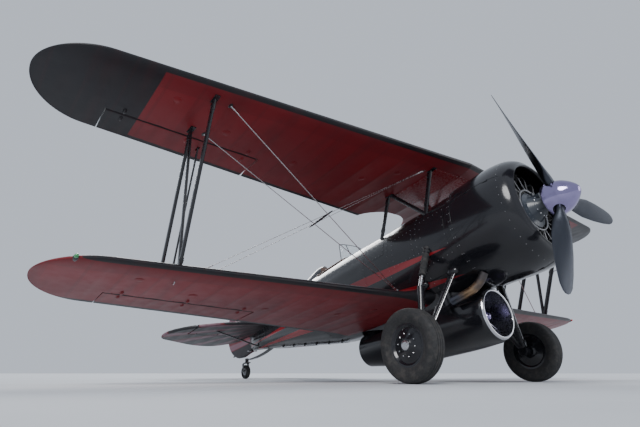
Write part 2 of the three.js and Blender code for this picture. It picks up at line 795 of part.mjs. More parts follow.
function mainTyre() {
  const { radius, width, rim } = MAIN_TYRE;
  const half = width / 2;
  // Tyre outline: columns are across, radius.
  const profile = [
    [-0.62 * half, rim],
    [-half, 0.76 * radius],
    [-0.86 * half, 0.92 * radius],
    [-0.45 * half, radius],
    [0.45 * half, radius],
    [0.86 * half, 0.92 * radius],
    [half, 0.76 * radius],
    [0.62 * half, rim],
    [-0.62 * half, rim],
  ];
  return turnedAcross(profile, 0, 0, WHEEL_SIDES, flatTurn(WHEEL_SIDES));
}

function mainHub() {
  const half = 0.31 * MAIN_TYRE.width;
  const rim = MAIN_TYRE.rim - GAP;
  const profile = [
    [-half - 18, HUB_BORE],
    [-half - 18, 62],
    [-half + 14, rim - 34],
    [-half, rim],
    [half, rim],
    [half - 14, rim - 34],
    [half + 24, 62],
    [half + 24, HUB_BORE],
    [-half - 18, HUB_BORE],
  ];
  return turnedAcross(profile, 0, 0, WHEEL_SIDES, flatTurn(WHEEL_SIDES));
}

// Tail wheel

// Its axle's height puts all three wheels on one floor at the parked pitch.
function parkedTailAxle() {
  const sine = Math.sin(radians(PARK_PITCH));
  const cosine = Math.cos(radians(PARK_PITCH));
  const floor = MAIN_AXLE.x * sine + MAIN_AXLE.z * cosine - standingRadius(MAIN_TYRE, WHEEL_SIDES);
  return (floor + standingRadius(TAIL_TYRE, TAIL_WHEEL_SIDES) - TAIL_AXLE.x * sine) / cosine;
}
TAIL_AXLE.z = parkedTailAxle();
const PIVOT = point(-6680, 0, TAIL_AXLE.z + TAIL_TYRE.radius + 30); // foot of the swivel post

function tailSpring() {
  const level = PIVOT.z + 44;
  const points = [
    point(-5780, 0, level + 8),
    point(-6080, 0, level - 22),
    point(-6400, 0, level - 24),
    point(PIVOT.x, 0, level),
  ];
  const socket = bar(PIVOT.clone().add(point(0, 0, 12)), PIVOT.clone().add(point(0, 0, 76)), 34, 34, 14);
  return cut(join(strutFlat(points, 70, 22), socket), fuselageKeepOut);
}

// A flat leaf of a width and thickness through points in the middle plane.
function strutFlat(points, width, thickness) {
  const rings = points.map((p) =>
    [
      [-1, -1],
      [1, -1],
      [1, 1],
      [-1, 1],
    ].map(([across, up]) => p.clone().add(point(0, (across * width) / 2, (up * thickness) / 2))),
  );
  return solid(loft(rings));
}

function tailFork() {
  const half = TAIL_TYRE.width / 2 + 10;
  const top = PIVOT.z;
  const crown = box(point(-6740, -half - 8, top - 12), point(-6640, half + 8, top + 4));
  const cheeks = [-1, 1].map((side) => {
    const rings = [
      [point(-6735, 0, top - 4), 36],
      [point(TAIL_AXLE.x, 0, TAIL_AXLE.z), 22],
    ].map(([centre, reach]) =>
      [
        [-reach, half],
        [reach, half],
        [reach, half + 8],
        [-reach, half + 8],
      ].map(([x, y]) => centre.clone().add(point(x, side * y, 0))),
    );
    return solid(loft(rings));
  });
  const pin = bar(
    point(TAIL_AXLE.x, -half - 14, TAIL_AXLE.z),
    point(TAIL_AXLE.x, half + 14, TAIL_AXLE.z),
    9,
    9,
    12,
  );
  const post = bar(point(PIVOT.x, 0, top - 8), point(PIVOT.x, 0, top + 11), 26, 26, 14);
  return join(crown, ...cheeks, pin, post);
}

function tailTyre() {
  const half = TAIL_TYRE.width / 2;
  const profile = [
    [-half, 11],
    [-half, 30],
    [-0.65 * half, TAIL_TYRE.rim],
    [-half, 0.75 * TAIL_TYRE.radius],
    [-0.55 * half, TAIL_TYRE.radius],
    [0.55 * half, TAIL_TYRE.radius],
    [half, 0.75 * TAIL_TYRE.radius],
    [0.65 * half, TAIL_TYRE.rim],
    [half, 30],
    [half, 11],
    [-half, 11],
  ];
  return turnedAcross(profile, 0, 0, TAIL_WHEEL_SIDES, flatTurn(TAIL_WHEEL_SIDES));
}

// Tail surfaces

// A flat surface of one outline with bevelled edges, middle at 0, drawn in its own x and y.
function plate(shape, thickness) {
  const bevel = 0.36 * thickness;
  const geometry = new THREE.ExtrudeGeometry(shape, {
    depth: thickness - 2 * bevel,
    bevelEnabled: true,
    bevelThickness: bevel,
    bevelSize: 0.9 * bevel,
    bevelOffset: -0.9 * bevel,
    bevelSegments: 1,
    curveSegments: 6,
  });
  return solid(geometry.translate(0, 0, bevel - thickness / 2));
}

// Left half of the tailplane, seen from above: leading edge, round tip, straight trailing edge and the
// cut-out beside the rudder.
function tailplaneOutline() {
  const shape = new THREE.Shape();
  shape.moveTo(-5425, 40);
  shape.bezierCurveTo(-5450, 480, -5540, 1010, -5905, 1450);
  shape.bezierCurveTo(-6120, 1680, -6330, 1770, -6545, 1725);
  shape.quadraticCurveTo(-6620, 1705, -6648, 1640);
  shape.lineTo(-6880, 1160);
  shape.bezierCurveTo(-6985, 930, -7010, 700, -6955, 540);
  shape.bezierCurveTo(-6890, 400, -6700, 215, -6500, 175);
  shape.lineTo(-6420, 40);
  shape.closePath();
  return shape;
}

// Fin and rudder together, drawn as x and height.
function finOutline() {
  const shape = new THREE.Shape();
  shape.moveTo(-5600, 330);
  shape.bezierCurveTo(-5900, 620, -6150, 960, -6330, 1120);
  shape.bezierCurveTo(-6480, 1250, -6760, 1300, -6950, 1200);
  shape.bezierCurveTo(-7200, 1060, -7330, 760, -7350, 420);
  shape.bezierCurveTo(-7350, 180, -7160, -20, -6860, -70);
  shape.quadraticCurveTo(-6600, -90, RUDDER_HINGE_X, -40);
  shape.lineTo(-5700, -40);
  shape.closePath();
  return shape;
}

const far = 9000;
const RUDDER_HORN = 96; // half the length of the bar that the rudder's cables pull
const NOSE_RADIUS = 0.46 * TAIL_THICKNESS;

function tailplanePieces() {
  const whole = plate(tailplaneOutline(), TAIL_THICKNESS).translate([0, 0, TAIL_Z]);
  const rootY = 205; // the elevator's root, clear of the fuselage
  const block = (x0, x1, y0, y1) => box(point(x0, y0, -far), point(x1, y1, far));
  const behind = block(-far, ELEVATOR_HINGE_X, rootY, far);
  const horn = block(-far, 0, HORN_Y + HORN_GAP, far);
  const nose = bar(
    point(ELEVATOR_HINGE_X, rootY, TAIL_Z),
    point(ELEVATOR_HINGE_X, HORN_Y + HORN_GAP + 20, TAIL_Z),
    NOSE_RADIUS,
  );
  const fixed = whole
    .intersect(block(ELEVATOR_HINGE_X + NOSE_RADIUS + NOSE_GAP, 0, 0, HORN_Y))
    .subtract(fuselageKeepOut);
  const moving = join(whole.intersect(join(behind, horn)), nose);
  return { fixed, moving, rootY };
}

function finPieces() {
  const whole = plate(finOutline(), TAIL_THICKNESS).rotate([90, 0, 0]);
  const slab = (x0, x1, z0, z1) => box(point(x0, -far, z0), point(x1, far, z1));
  const nose = bar(point(RUDDER_HINGE_X, 0, -40), point(RUDDER_HINGE_X, 0, 1140), NOSE_RADIUS);
  const fixed = whole
    .intersect(slab(RUDDER_HINGE_X + NOSE_RADIUS + NOSE_GAP, 0, 200, far))
    .subtract(fuselageKeepOut);
  const horn = box(point(RUDDER_HINGE_X - 24, -RUDDER_HORN, -34), point(RUDDER_HINGE_X + 12, RUDDER_HORN, -18));
  const moving = join(whole.intersect(slab(-far, RUDDER_HINGE_X, -far, far)), nose, horn);
  return { fixed, moving };
}

const tailplane = tailplanePieces();
const fin = finPieces();

function torqueTube() {
  const end = tailplane.rootY - GAP;
  return bar(point(ELEVATOR_HINGE_X, -end, TAIL_Z), point(ELEVATOR_HINGE_X, end, TAIL_Z), NOSE_RADIUS);
}

function tailBrace() {
  const body = strut(point(-6020, 90, -60), point(-5990, 980, TAIL_Z), 42, 20);
  const above = box(point(-far, -far, TAIL_Z - TAIL_THICKNESS / 2 - GAP), point(0, far, far));
  return cut(body, fuselageKeepOut, above);
}

// Two wires from a lug on the stabilizer up to the fin.
function tailWires() {
  const skin = TAIL_THICKNESS / 2 + GAP; // from a tail surface's middle
  const low = point(-6010, 990, TAIL_Z + skin);
  const wires = [-6110, -6200].map((x) => strut(low, point(x, skin - 4, 860), WIRE.chord, WIRE.thickness, 6));
  const lug = box(low.clone().add(point(-22, -10, 0)), low.clone().add(point(22, 10, 14)));
  const below = box(point(-far, -far, -far), point(0, far, TAIL_Z + skin));
  const inside = box(point(-far, -far, -far), point(0, skin, far));
  return cut(join(...wires, lug), below, inside);
}

// Cockpit

function windscreen() {
  const steps = 6;
  const rings = Array.from({ length: steps + 1 }, (_, i) => {
    const angle = mix(-80, 80, i / steps);
    const ray = (radiusX, radiusY, z) =>
      point(
        COCKPIT.front - 150 + radiusX * Math.cos(radians(angle)),
        radiusY * Math.sin(radians(angle)),
        z,
      );
    return [ray(235, 262, 430), ray(60, 225, 800), ray(56, 221, 800), ray(231, 258, 430)];
  });
  return cut(solid(loft(rings)), fuselageKeepOut);
}

function pilotSeat() {
  const { rear, floor } = COCKPIT;
  const pan = box(point(rear + 130, -215, floor + 120), point(rear + 560, 215, floor + 190));
  const back = box(point(rear + 85, -215, floor + 120), point(rear + 145, 215, floor + 720));
  const foot = box(point(rear + 200, -150, floor + GAP), point(rear + 480, 150, floor + 125));
  return join(pan, back, foot);
}

// The whole aircraft

const aircraft = new THREE.Group();

// Adds a piece to the aircraft in level axes.
const fit = (name, body, material) => aircraft.add(piece(name, body, material));

// A group that stands at a hinge, +Y along its axis, and takes up the pieces that turn with it.
function hinged(name, at, axis, pieces, parent = aircraft) {
  const group = new THREE.Group();
  group.name = name;
  group.quaternion.setFromUnitVectors(point(0, 1, 0), axis.clone().normalize());
  group.position.copy(at);
  aircraft.add(group);
  aircraft.updateMatrixWorld(true);
  if (parent !== aircraft) parent.attach(group);
  for (const made of pieces) {
    aircraft.add(made);
    made.updateMatrixWorld(true);
    group.attach(made);
  }
  return group;
}

fit("fuselage", fuselage, "blackPaint");
fit("cowling", cowling, "blackPaint");
fit("radial_engine", radialEngine(), "darkMetal");
fit("exhaust_stack", exhaustStack(), "steel");
fit("jet_nacelle", nacelleShell(), "blackPaint");
fit("jet_engine", jetEngine(), "darkMetal");
fit("windscreen", windscreen(), "glass");
fit("pilot_seat", pilotSeat(), "leather");
fit("fin", fin.fixed, "blackPaint");
fit("tail_spring", tailSpring(), "steel");

const upperFixed = cut(
  upperWing.fixed,
  bar(point(CUTOUT.x, 0, 0), point(CUTOUT.x, 0, 2000), CUTOUT.radius, CUTOUT.radius, 28),
);
const lowerFixed = cut(lowerWing.fixed, fuselageKeepOut, nacelleKeepOut);

for (const side of [1, -1]) {
  const name = sideName(side);
  const here = (p) => point(p.x, side * p.y, p.z);
  fit(`upper_wing_${name}`, onSide(upperFixed, side), "redFabric");
  fit(`lower_wing_${name}`, onSide(lowerFixed, side), "redFabric");
  fit(`interplane_strut_${name}`, onSide(interplaneStrut(), side), "blackPaint");
  fit(`cabane_strut_${name}`, onSide(cabaneStrut(), side), "blackPaint");
  fit(`flying_wires_${name}`, onSide(flyingWires(), side), "steel");
  fit(`landing_wires_${name}`, onSide(landingWires(), side), "steel");
  fit(`gear_leg_${name}`, onSide(gearLeg(), side), "blackPaint");
  fit(`stabilizer_${name}`, onSide(tailplane.fixed, side), "blackPaint");
  fit(`tail_brace_${name}`, onSide(tailBrace(), side), "blackPaint");
  fit(`tail_wires_${name}`, onSide(tailWires(), side), "steel");

  const hinges = { upper: upperWing, lower: lowerWing };
  const groups = {};
  let linkAxis;
  for (const [level, wing] of Object.entries(hinges)) {
    const from = here(wing.hinge.from);
    const to = here(wing.hinge.to);
    const axis = side > 0 ? to.clone().sub(from) : from.clone().sub(to);
    const flap = slottedAileron(wing, level === "upper" ? -1 : 1);
    const mesh = piece(`aileron_${level}_${name}`, onSide(flap, side), "redFabric");
    groups[level] = hinged(`aileron_${level}_${name}_hinge`, from, axis, [mesh]);
    linkAxis = axis; // both levels' hinge lines are parallel
  }
  const rod = piece(`aileron_link_${name}`, onSide(aileronLink(), side), "blackPaint");
  hinged(`aileron_link_${name}_hinge`, here(linkPin(upperWing)), linkAxis, [rod], groups.upper);

  const wheel = new THREE.Group();
  wheel.name = `wheel_${name}_hinge`;
  wheel.position.set(MAIN_AXLE.x, side * MAIN_AXLE.y, MAIN_AXLE.z);
  wheel.add(piece(`tyre_${name}`, mainTyre(), "rubber"));
  wheel.add(piece(`wheel_hub_${name}`, onSide(mainHub(), side), "steel"));
  aircraft.add(wheel);
}

hinged("elevator_hinge", point(ELEVATOR_HINGE_X, 0, TAIL_Z), point(0, 1, 0), [
  piece("elevator_left", tailplane.moving, "blackPaint"),
  piece("elevator_right", mirrored(tailplane.moving), "blackPaint"),
  piece("elevator_tube", torqueTube(), "steel"),
]);
hinged("rudder_hinge", point(RUDDER_HINGE_X, 0, 0), point(0, 0, 1), [
  piece("rudder", fin.moving, "blackPaint"),
]);
hinged("propeller_hinge", point(PROP_X, 0, 0), point(1, 0, 0), [
  piece("propeller", propellerBlades(), "darkMetal"),
  piece("spinner", spinnerShell(), "chrome"),
]);
const fork = hinged("tail_fork_hinge", PIVOT, point(0, 0, 1), [piece("tail_fork", tailFork(), "steel")]);
const tailWheel = piece("tail_wheel", tailTyre().translate([TAIL_AXLE.x, 0, TAIL_AXLE.z]), "rubber");
hinged("tail_wheel_hinge", point(TAIL_AXLE.x, 0, TAIL_AXLE.z), point(0, 1, 0), [tailWheel], fork);

// Parked: nose up on three wheels, with the origin on the floor under the middle of its extent.
const parked = new THREE.Group();
parked.add(aircraft);
aircraft.rotation.y = -radians(PARK_PITCH);
parked.updateMatrixWorld(true);
const extent = new THREE.Box3().setFromObject(parked, true);
aircraft.position.set(-(extent.min.x + extent.max.x) / 2, 0, -extent.min.z);
parked.updateMatrixWorld(true);

export default parked;
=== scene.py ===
"""A staggered taper-wing biplane, parked on its three wheels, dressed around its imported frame.

Its pieces are drawn as the aircraft is in level flight, in metres: +X forward, +Y to the pilot's left,
+Z up, with x = 0 at the spinner's tip and z = 0 on the propeller's axis. Each is then turned nose up, as
the aircraft parks, and the materials turn their coordinates back to the level ones.
"""

import json
import math

import bmesh
import bpy
import numpy as np
from mathutils import Matrix, Vector


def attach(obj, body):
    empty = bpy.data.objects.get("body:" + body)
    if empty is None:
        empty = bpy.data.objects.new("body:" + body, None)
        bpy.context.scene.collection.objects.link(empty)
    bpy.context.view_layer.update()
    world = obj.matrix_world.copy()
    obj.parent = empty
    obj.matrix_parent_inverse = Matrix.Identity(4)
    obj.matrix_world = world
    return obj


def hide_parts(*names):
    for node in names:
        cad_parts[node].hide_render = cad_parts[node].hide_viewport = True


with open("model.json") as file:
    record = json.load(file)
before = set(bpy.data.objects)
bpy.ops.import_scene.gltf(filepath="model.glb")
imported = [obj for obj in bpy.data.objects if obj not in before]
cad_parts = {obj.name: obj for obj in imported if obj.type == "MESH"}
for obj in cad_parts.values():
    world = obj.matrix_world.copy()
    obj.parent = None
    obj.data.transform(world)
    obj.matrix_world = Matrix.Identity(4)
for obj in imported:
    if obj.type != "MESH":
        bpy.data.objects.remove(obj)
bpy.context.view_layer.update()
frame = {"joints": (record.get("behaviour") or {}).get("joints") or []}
scene = bpy.context.scene

# Driving dimensions, the same as in the part's source

PARK_PITCH = math.radians(12)
ROOT_CHORD = 1.67
LEADING_SWEEP = 0.105
TRAILING_SWEEP = 0.05
DIHEDRAL = math.radians(2)
TIP_LENGTH = 0.53
ROOT_THICKNESS = 0.115
TIP_THICKNESS = 0.095
CAMBER = 0.022
CAMBER_PLACE = 0.38
TRAILING_EDGE = 0.005
UPPER = {"semi_span": 4.61, "root": 0.001, "lead_x": -1.035, "z": 0.905, "aileron": (2.33, 3.96)}
LOWER = {"semi_span": 4.29, "root": 0.24, "lead_x": -1.855, "z": -0.545, "aileron": (2.01, 3.64)}
WINGS = {"upper": UPPER, "lower": LOWER}
AILERON_SHARE = 0.29
AILERON_GAP = 0.022
AILERON_END_GAP = 0.009  # the outer slit is too narrow to show from afar
NOSE_GAP = 0.008
FRONT_SPAR = 0.15
REAR_SPAR = 0.6
STRUT_Y = 3.17
LINK_Y = 2.98
LINK_ARM = 0.115
# The slot round a rod's pin: depth deep up to step, and shelf deep from there to lean, where the rod leans.
LINK_SLOT = {"back": 0.017, "step": 0.02, "lean": 0.064, "width": 0.028, "depth": 0.014, "shelf": 0.002}
CUTOUT = {"x": -2.86, "radius": 0.47}
CABANE_TOP_Y = 0.43
CABANE_FOOT = {"front_x": -1.56, "rear_x": -2.33, "y": 0.43, "z": 0.38}

COWL_FRONT = -0.41
COWL_REAR = -1.19
FIREWALL_X = -1.2
PROP_X = -0.235
PROP_RADIUS = 1.27
SPINNER_RADIUS = 0.185
SPINNER_LENGTH = 0.325
COCKPIT = {"front": -3.24, "rear": -4.01, "half_width": 0.285, "floor": -0.33}
NACELLE = {"lip_x": -1.27, "exit_x": -3.33, "z": -0.9, "lip": 0.262, "widest": 0.318, "exit": 0.205}
NACELLE_TILT = math.radians(3)
MAIN_AXLE = np.array([-1.64, 1.1, -1.19])
MAIN_TYRE = {"radius": 0.36, "width": 0.19, "rim": 0.205}
WHEEL_SIDES = 28
TAIL_TYRE = {"radius": 0.125, "width": 0.078, "rim": 0.062}
TAIL_WHEEL_SIDES = 20
PIVOT_X = -6.68
TAIL_Z = 0.2
TAIL_THICKNESS = 0.056
ELEVATOR_HINGE_X = -6.26
RUDDER_HINGE_X = -6.45
HORN_Y = 1.36
HORN_GAP = 0.03


def joint_place(name):
    """A joint's place in the parked frame."""
    return Vector(next(j for j in frame["joints"] if j["name"] == name)["pos_m"])


PARK = Matrix.Rotation(-PARK_PITCH, 4, "Y")
PARK.translation = joint_place("propeller_spin") - PARK @ Vector((PROP_X, 0, 0))
LEVEL = PARK.inverted()


# Shapes: vertices and faces in numpy, before they become meshes


def mix(a, b, t):
    return a + (b - a) * t


def straight_rows(table, x):
    """A table's columns at x, on straight lines between its rows. The first column rises."""
    return [np.interp(x, table[:, 0], column) for column in table[:, 1:].T]


def smooth_rows(table, x):
    """A table's columns at x, on a smooth curve through its rows. The first column falls."""
    xs = table[::-1, 0]
    ys = table[::-1, 1:]
    slopes = np.gradient(ys, xs, axis=0)
    i = int(np.clip(np.searchsorted(xs, x) - 1, 0, len(xs) - 2))
    step = xs[i + 1] - xs[i]
    t = (x - xs[i]) / step
    a = (2 * t**3 - 3 * t**2 + 1) * ys[i] + (t**3 - 2 * t**2 + t) * step * slopes[i]
    b = (3 * t**2 - 2 * t**3) * ys[i + 1] + (t**3 - t**2) * step * slopes[i + 1]
    return a + b


def ease(value, low, high):
    """0 below low, 1 above high, smooth between."""
    t = np.clip((np.asarray(value, float) - low) / (high - low), 0, 1)
    return t * t * (3 - 2 * t)


class Shape:
    """Vertices and faces of one or more closed forms."""

    def __init__(self, verts, faces):
        self.verts = np.asarray(verts, float).reshape(-1, 3)
        self.faces = list(faces)

    def __add__(self, other):
        shift = len(self.verts)
        moved = [tuple(i + shift for i in face) for face in other.faces]
        return Shape(np.concatenate([self.verts, other.verts]), self.faces + moved)

    def moved(self, matrix):
        turned = np.array(matrix, float)
        return Shape(self.verts @ turned[:3, :3].T + turned[:3, 3], self.faces)

    def shifted(self, place):
        return self.moved(Matrix.Translation(Vector(place)))

    def turned(self, angle, axis):
        return self.moved(Matrix.Rotation(angle, 4, axis))

    def mirrored(self):
        return Shape(self.verts * (1, -1, 1), [tuple(reversed(face)) for face in self.faces])

    def mesh(self, name):
        made = bpy.data.meshes.new(name)
        made.from_pydata(self.verts.tolist(), [], self.faces)
        bm = bmesh.new()
        bm.from_mesh(made)
        bmesh.ops.recalc_face_normals(bm, faces=bm.faces)
        bm.to_mesh(made)
        bm.free()
        return made


def total(shapes):
    """Several shapes as one."""
    shapes = list(shapes)
    made = shapes[0]
    for other in shapes[1:]:
        made = made + other
    return made


def loft(rings, closed=False):
    """Quads through rings of equal point count, capped at both ends, or closed round on themselves."""
    count = len(rings[0])
    faces = []
    for r in range(len(rings) - (not closed)):
        here = r * count
        there = (r + 1) % len(rings) * count
        for i in range(count):
            j = (i + 1) % count
            faces.append((here + i, here + j, there + j, there + i))
    if not closed:
        last = (len(rings) - 1) * count
        faces.append(tuple(reversed(range(count))))
        faces.append(tuple(range(last, last + count)))
    return Shape(np.concatenate(rings), faces)


def box(low, high):
    (x0, y0, z0), (x1, y1, z1) = low, high
    rings = [np.array([(x, y0, z0), (x, y1, z0), (x, y1, z1), (x, y0, z1)], float) for x in (x0, x1)]
    return loft(rings)


def curve_through(points, steps):
    """Points on a smooth curve through the given ones, steps of them to each stretch."""
    p = np.asarray(points, float)
    p = np.concatenate([[2 * p[0] - p[1]], p, [2 * p[-1] - p[-2]]])
    t = np.arange(steps)[:, None] / steps
    made = []
    for a, b, c, d in zip(p, p[1:], p[2:], p[3:]):
        made.append(b + 0.5 * t * (c - a + t * (2 * a - 5 * b + 4 * c - d + t * (3 * (b - c) + d - a))))
    return np.concatenate([*made, p[-2:-1]])


def revolve(profile, sides, closed=False, axis="X"):
    """A solid of revolution. Profile rows are [place along the axis, radius]."""
    angles = 2 * np.pi * np.arange(sides) / sides
    order = {"X": (0, 1, 2), "Y": (1, 2, 0), "Z": (2, 0, 1)}[axis]
    rings = []
    for along, radius in profile:
        ring = np.empty((sides, 3))
        ring[:, order[0]] = along
        ring[:, order[1]] = radius * np.cos(angles)
        ring[:, order[2]] = radius * np.sin(angles)
        rings.append(ring)
    return loft(rings, closed)


def round_ring(centre, radius, side, up, sides):
    angles = 2 * np.pi * np.arange(sides) / sides
    return centre + radius * (np.outer(np.cos(angles), side) + np.outer(np.sin(angles), up))


def level_ring(plan, z):
    """Flat (x, y) points at one height."""
    return np.column_stack([plan, np.full(len(plan), z)])


def tube(points, radius, sides=12):
    """A round bar along points. The radius may be one number or one for each point."""
    p = np.asarray(points, float)
    radii = np.broadcast_to(radius, len(p))
    ahead = np.gradient(p, axis=0)
    ahead /= np.linalg.norm(ahead, axis=1)[:, None]
    side = np.cross(ahead[0], (0, 0, 1) if abs(ahead[0][2]) < 0.9 else (1, 0, 0))
    rings = []
    for centre, along, r in zip(p, ahead, radii):
        side = side - along * (side @ along)
        side /= np.linalg.norm(side)
        rings.append(round_ring(centre, r, side, np.cross(along, side), sides))
    return loft(rings)


def ring_tube(path, radius, sides):
    """A round bar along a closed path."""
    ahead = np.roll(path, -1, axis=0) - np.roll(path, 1, axis=0)
    ahead /= np.linalg.norm(ahead, axis=1)[:, None]
    side = np.cross(ahead, (0, 0, 1))
    side /= np.linalg.norm(side, axis=1)[:, None]
    up = np.cross(side, ahead)
    rings = [round_ring(p, radius, s, u, sides) for p, s, u in zip(path, side, up)]
    return loft(rings, closed=True)


def bar(start, end, radius, sides=16):
    return tube([start, end], radius, sides)


def strut(start, end, chord, thickness, sides=28):
    """A streamlined strut: its chord lies fore and aft."""
    along = np.subtract(end, start)
    along = along / np.linalg.norm(along)
    across = np.cross(along, (1, 0, 0))
    across /= np.linalg.norm(across)
    fore = np.cross(across, along)
    turn = 2 * np.pi * np.arange(sides) / sides
    reach = np.where(np.cos(turn) < 0, 1.25, 0.75) * np.cos(turn)
    section = 0.5 * chord * np.outer(reach, fore) + 0.5 * thickness * np.outer(np.sin(turn), across)
    return loft([np.asarray(start) + section, np.asarray(end) + section])


SCREW_RADIUS = 0.0045


def dome(place, radius, height, axis="Z"):
    """A low round head, such as a rivet's or a bolt's."""
    profile = [(0, radius), (0.6 * height, 0.86 * radius), (height, 0.4 * radius)]
    return revolve(profile, 8, axis=axis).shifted(place)


def pod(place, size, sides=20):
    """A smooth closed body, such as a lamp or a blister. size is its half length on each axis."""
    turn = np.linspace(-0.49 * np.pi, 0.49 * np.pi, 4 + sides // 3)
    ball = revolve(np.column_stack([np.sin(turn), np.cos(turn)]), sides)
    return Shape(ball.verts * size + place, ball.faces)


def stud(place, radius=SCREW_RADIUS):
    """A screw's head, half sunk."""
    return pod(place, (radius, radius, radius), 8)


def part_of(start, end, first, last):
    """The stretch of a line from first to last metres along it; negative ones count from its end."""
    start, end = np.asarray(start, float), np.asarray(end, float)
    length = np.linalg.norm(end - start)
    return [mix(start, end, (s if s >= 0 else length + s) / length) for s in (first, last)]


def to_shape(mesh):
    return Shape([v.co[:] for v in mesh.vertices], [tuple(p.vertices) for p in mesh.polygons])


def combined(shape, tool, operation):
    """Two closed shapes joined, cut or intersected."""
    pair = [bpy.data.objects.new("work", s.mesh("work")) for s in (shape, tool)]
    for made in pair:
        scene.collection.objects.link(made)
    modifier = pair[0].modifiers.new("work", "BOOLEAN")
    modifier.operation = operation
    modifier.object = pair[1]
    modifier.solver = "EXACT"
    bpy.context.view_layer.update()
    result = bpy.data.meshes.new_from_object(pair[0].evaluated_get(bpy.context.evaluated_depsgraph_get()))
    for made in pair:
        bpy.data.objects.remove(made)
    return to_shape(result)


def cut(shape, *tools):
    for tool in tools:
        shape = combined(shape, tool, "DIFFERENCE")
    return shape


SHARP_EDGE = math.radians(32)


def piece(name, shape, paint, body="airframe", replaces=(), slot=None, bevel=0.0):
    """A named object of the aircraft, drawn in level axes and parked with it, and given its paint's material.
    """
    mesh = shape.moved(PARK).mesh(name)
    mesh.materials.append(PAINTS[paint])
    mesh.polygons.foreach_set("use_smooth", [True] * len(mesh.polygons))
    mesh.set_sharp_from_angle(angle=SHARP_EDGE)
    made = bpy.data.objects.new(name, mesh)
    scene.collection.objects.link(made)
    if bevel:
        rounding = made.modifiers.new("rounding", "BEVEL")
        rounding.width = bevel
        rounding.segments = 2
        rounding.limit_method = "ANGLE"
    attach(made, body)
    slot or SLOTS[paint]
    if replaces:
        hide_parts(*replaces)
    return made


# Materials


class Value:
    """A number at every point of a surface. Arithmetic on it makes the nodes that work it out."""

    def __init__(self, look, socket):
        self.look = look
        self.socket = socket

    def __add__(self, other):
        return self.look.math("ADD", self, other)

    def __sub__(self, other):
        return self.look.math("SUBTRACT", self, other)

    def __rsub__(self, other):
        return self.look.math("SUBTRACT", other, self)

    def __mul__(self, other):
        return self.look.math("MULTIPLY", self, other)

    def __truediv__(self, other):
        return self.look.math("DIVIDE", self, other)

    def __abs__(self):
        return self.look.math("ABSOLUTE", self)

    __radd__ = __add__
    __rmul__ = __mul__


class Look:
    """A procedural material in the making."""

    def __init__(self, name):
        self.material = bpy.data.materials.new(name)
        self.material.use_nodes = True
        self.tree = self.material.node_tree
        self.shader = self.tree.nodes["Principled BSDF"]
        parked = self.node("ShaderNodeTexCoord").outputs["Object"]
        level = {"Vector": parked, "Rotation": LEVEL.to_euler(), "Location": LEVEL.translation}
        self.place = self.node("ShaderNodeMapping", level).outputs[0]

    def node(self, kind, inputs=(), **settings):
        made = self.tree.nodes.new(kind)
        for key, value in settings.items():
            setattr(made, key, value)
        for key, value in dict(inputs).items():
            self.put(made, key, value)
        return made

    def put(self, node, key, value):
        if isinstance(value, Value):
            value = value.socket
        if isinstance(value, bpy.types.NodeSocket):
            self.tree.links.new(value, node.inputs[key])
        else:
            node.inputs[key].default_value = value

    def set(self, **values):
        """Sets the shader's sockets: underscores stand for the spaces in their names."""
        for key, value in values.items():
            self.put(self.shader, key.replace("_", " "), value)
        return self

    def math(self, operation, a, b=0.0):
        return Value(self, self.node("ShaderNodeMath", {0: a, 1: b}, operation=operation).outputs[0])

    def noise(self, scale, detail=4.0, stretch=None):
        place = self.place
        if stretch:
            place = self.node("ShaderNodeMapping", {"Vector": place, "Scale": stretch}).outputs[0]
        inputs = {"Vector": place, "Scale": scale, "Detail": detail}
        return Value(self, self.node("ShaderNodeTexNoise", inputs).outputs["Fac"])

    def ramp(self, value, low, high, start=0.0, end=1.0):
        """start below low, end above high, smooth between."""
        inputs = {"Value": value, "From Min": low, "From Max": high, "To Min": start, "To Max": end}
        made = self.node("ShaderNodeMapRange", inputs, interpolation_type="SMOOTHSTEP")
        return Value(self, made.outputs["Result"])

    def uneven(self, scale, low, high, detail=4.0, stretch=None):
        """Soft patches from low to high."""
        return self.ramp(self.noise(scale, detail, stretch), 0.3, 0.7, low, high)

    def blend(self, factor, a, b):
        """Colour a where factor is 0, b where it is 1."""
        made = self.node("ShaderNodeMix", data_type="RGBA")
        self.put(made, 0, factor)
        self.put(made, 6, colour(a))
        self.put(made, 7, colour(b))
        return made.outputs[2]

    def axes(self):
        split = self.node("ShaderNodeSeparateXYZ", {0: self.place})
        return [Value(self, split.outputs[i]) for i in range(3)]

    def bump(self, height, distance, strength=1.0):
        inputs = {"Height": height, "Distance": distance, "Strength": strength}
        normal = self.node("ShaderNodeBump", inputs).outputs[0]
        self.put(self.shader, "Normal", normal)
        return self


def colour(value):
    """An RGB row as the RGBA that a colour socket takes."""
    return (*value, 1.0) if isinstance(value, tuple) and len(value) == 3 else value


RED = (0.2, 0.0085, 0.013)
SHADED_RED = (0.15, 0.0055, 0.0095)
SUNK_RED = (0.1, 0.004, 0.007)
BLACK = (0.008, 0.008, 0.0105)
DUST = (0.11, 0.1, 0.09)
CLOTH_DIRT = (0.035, 0.007, 0.009)
RAY_RED = (0.1, 0.007, 0.013)
RAY_SILVER = (0.15, 0.085, 0.11)
RAYS_FROM = {"x": -5.36, "z": 0.12}  # where the tail's rays meet

TAPE_WIDTH = 0.03
WING_RIB_PITCH = 0.3
TAIL_RIB_PITCH = 0.21


def chord_places(look, wing):
    """How far a point lies behind the leading edge, ahead of the trailing edge, and out from the middle."""
    x, y, _ = look.axes()
    out = abs(y)
    lead = wing["lead_x"] - out * LEADING_SWEEP
    trail = wing["lead_x"] - ROOT_CHORD + out * TRAILING_SWEEP
    return lead - x, x - trail, out


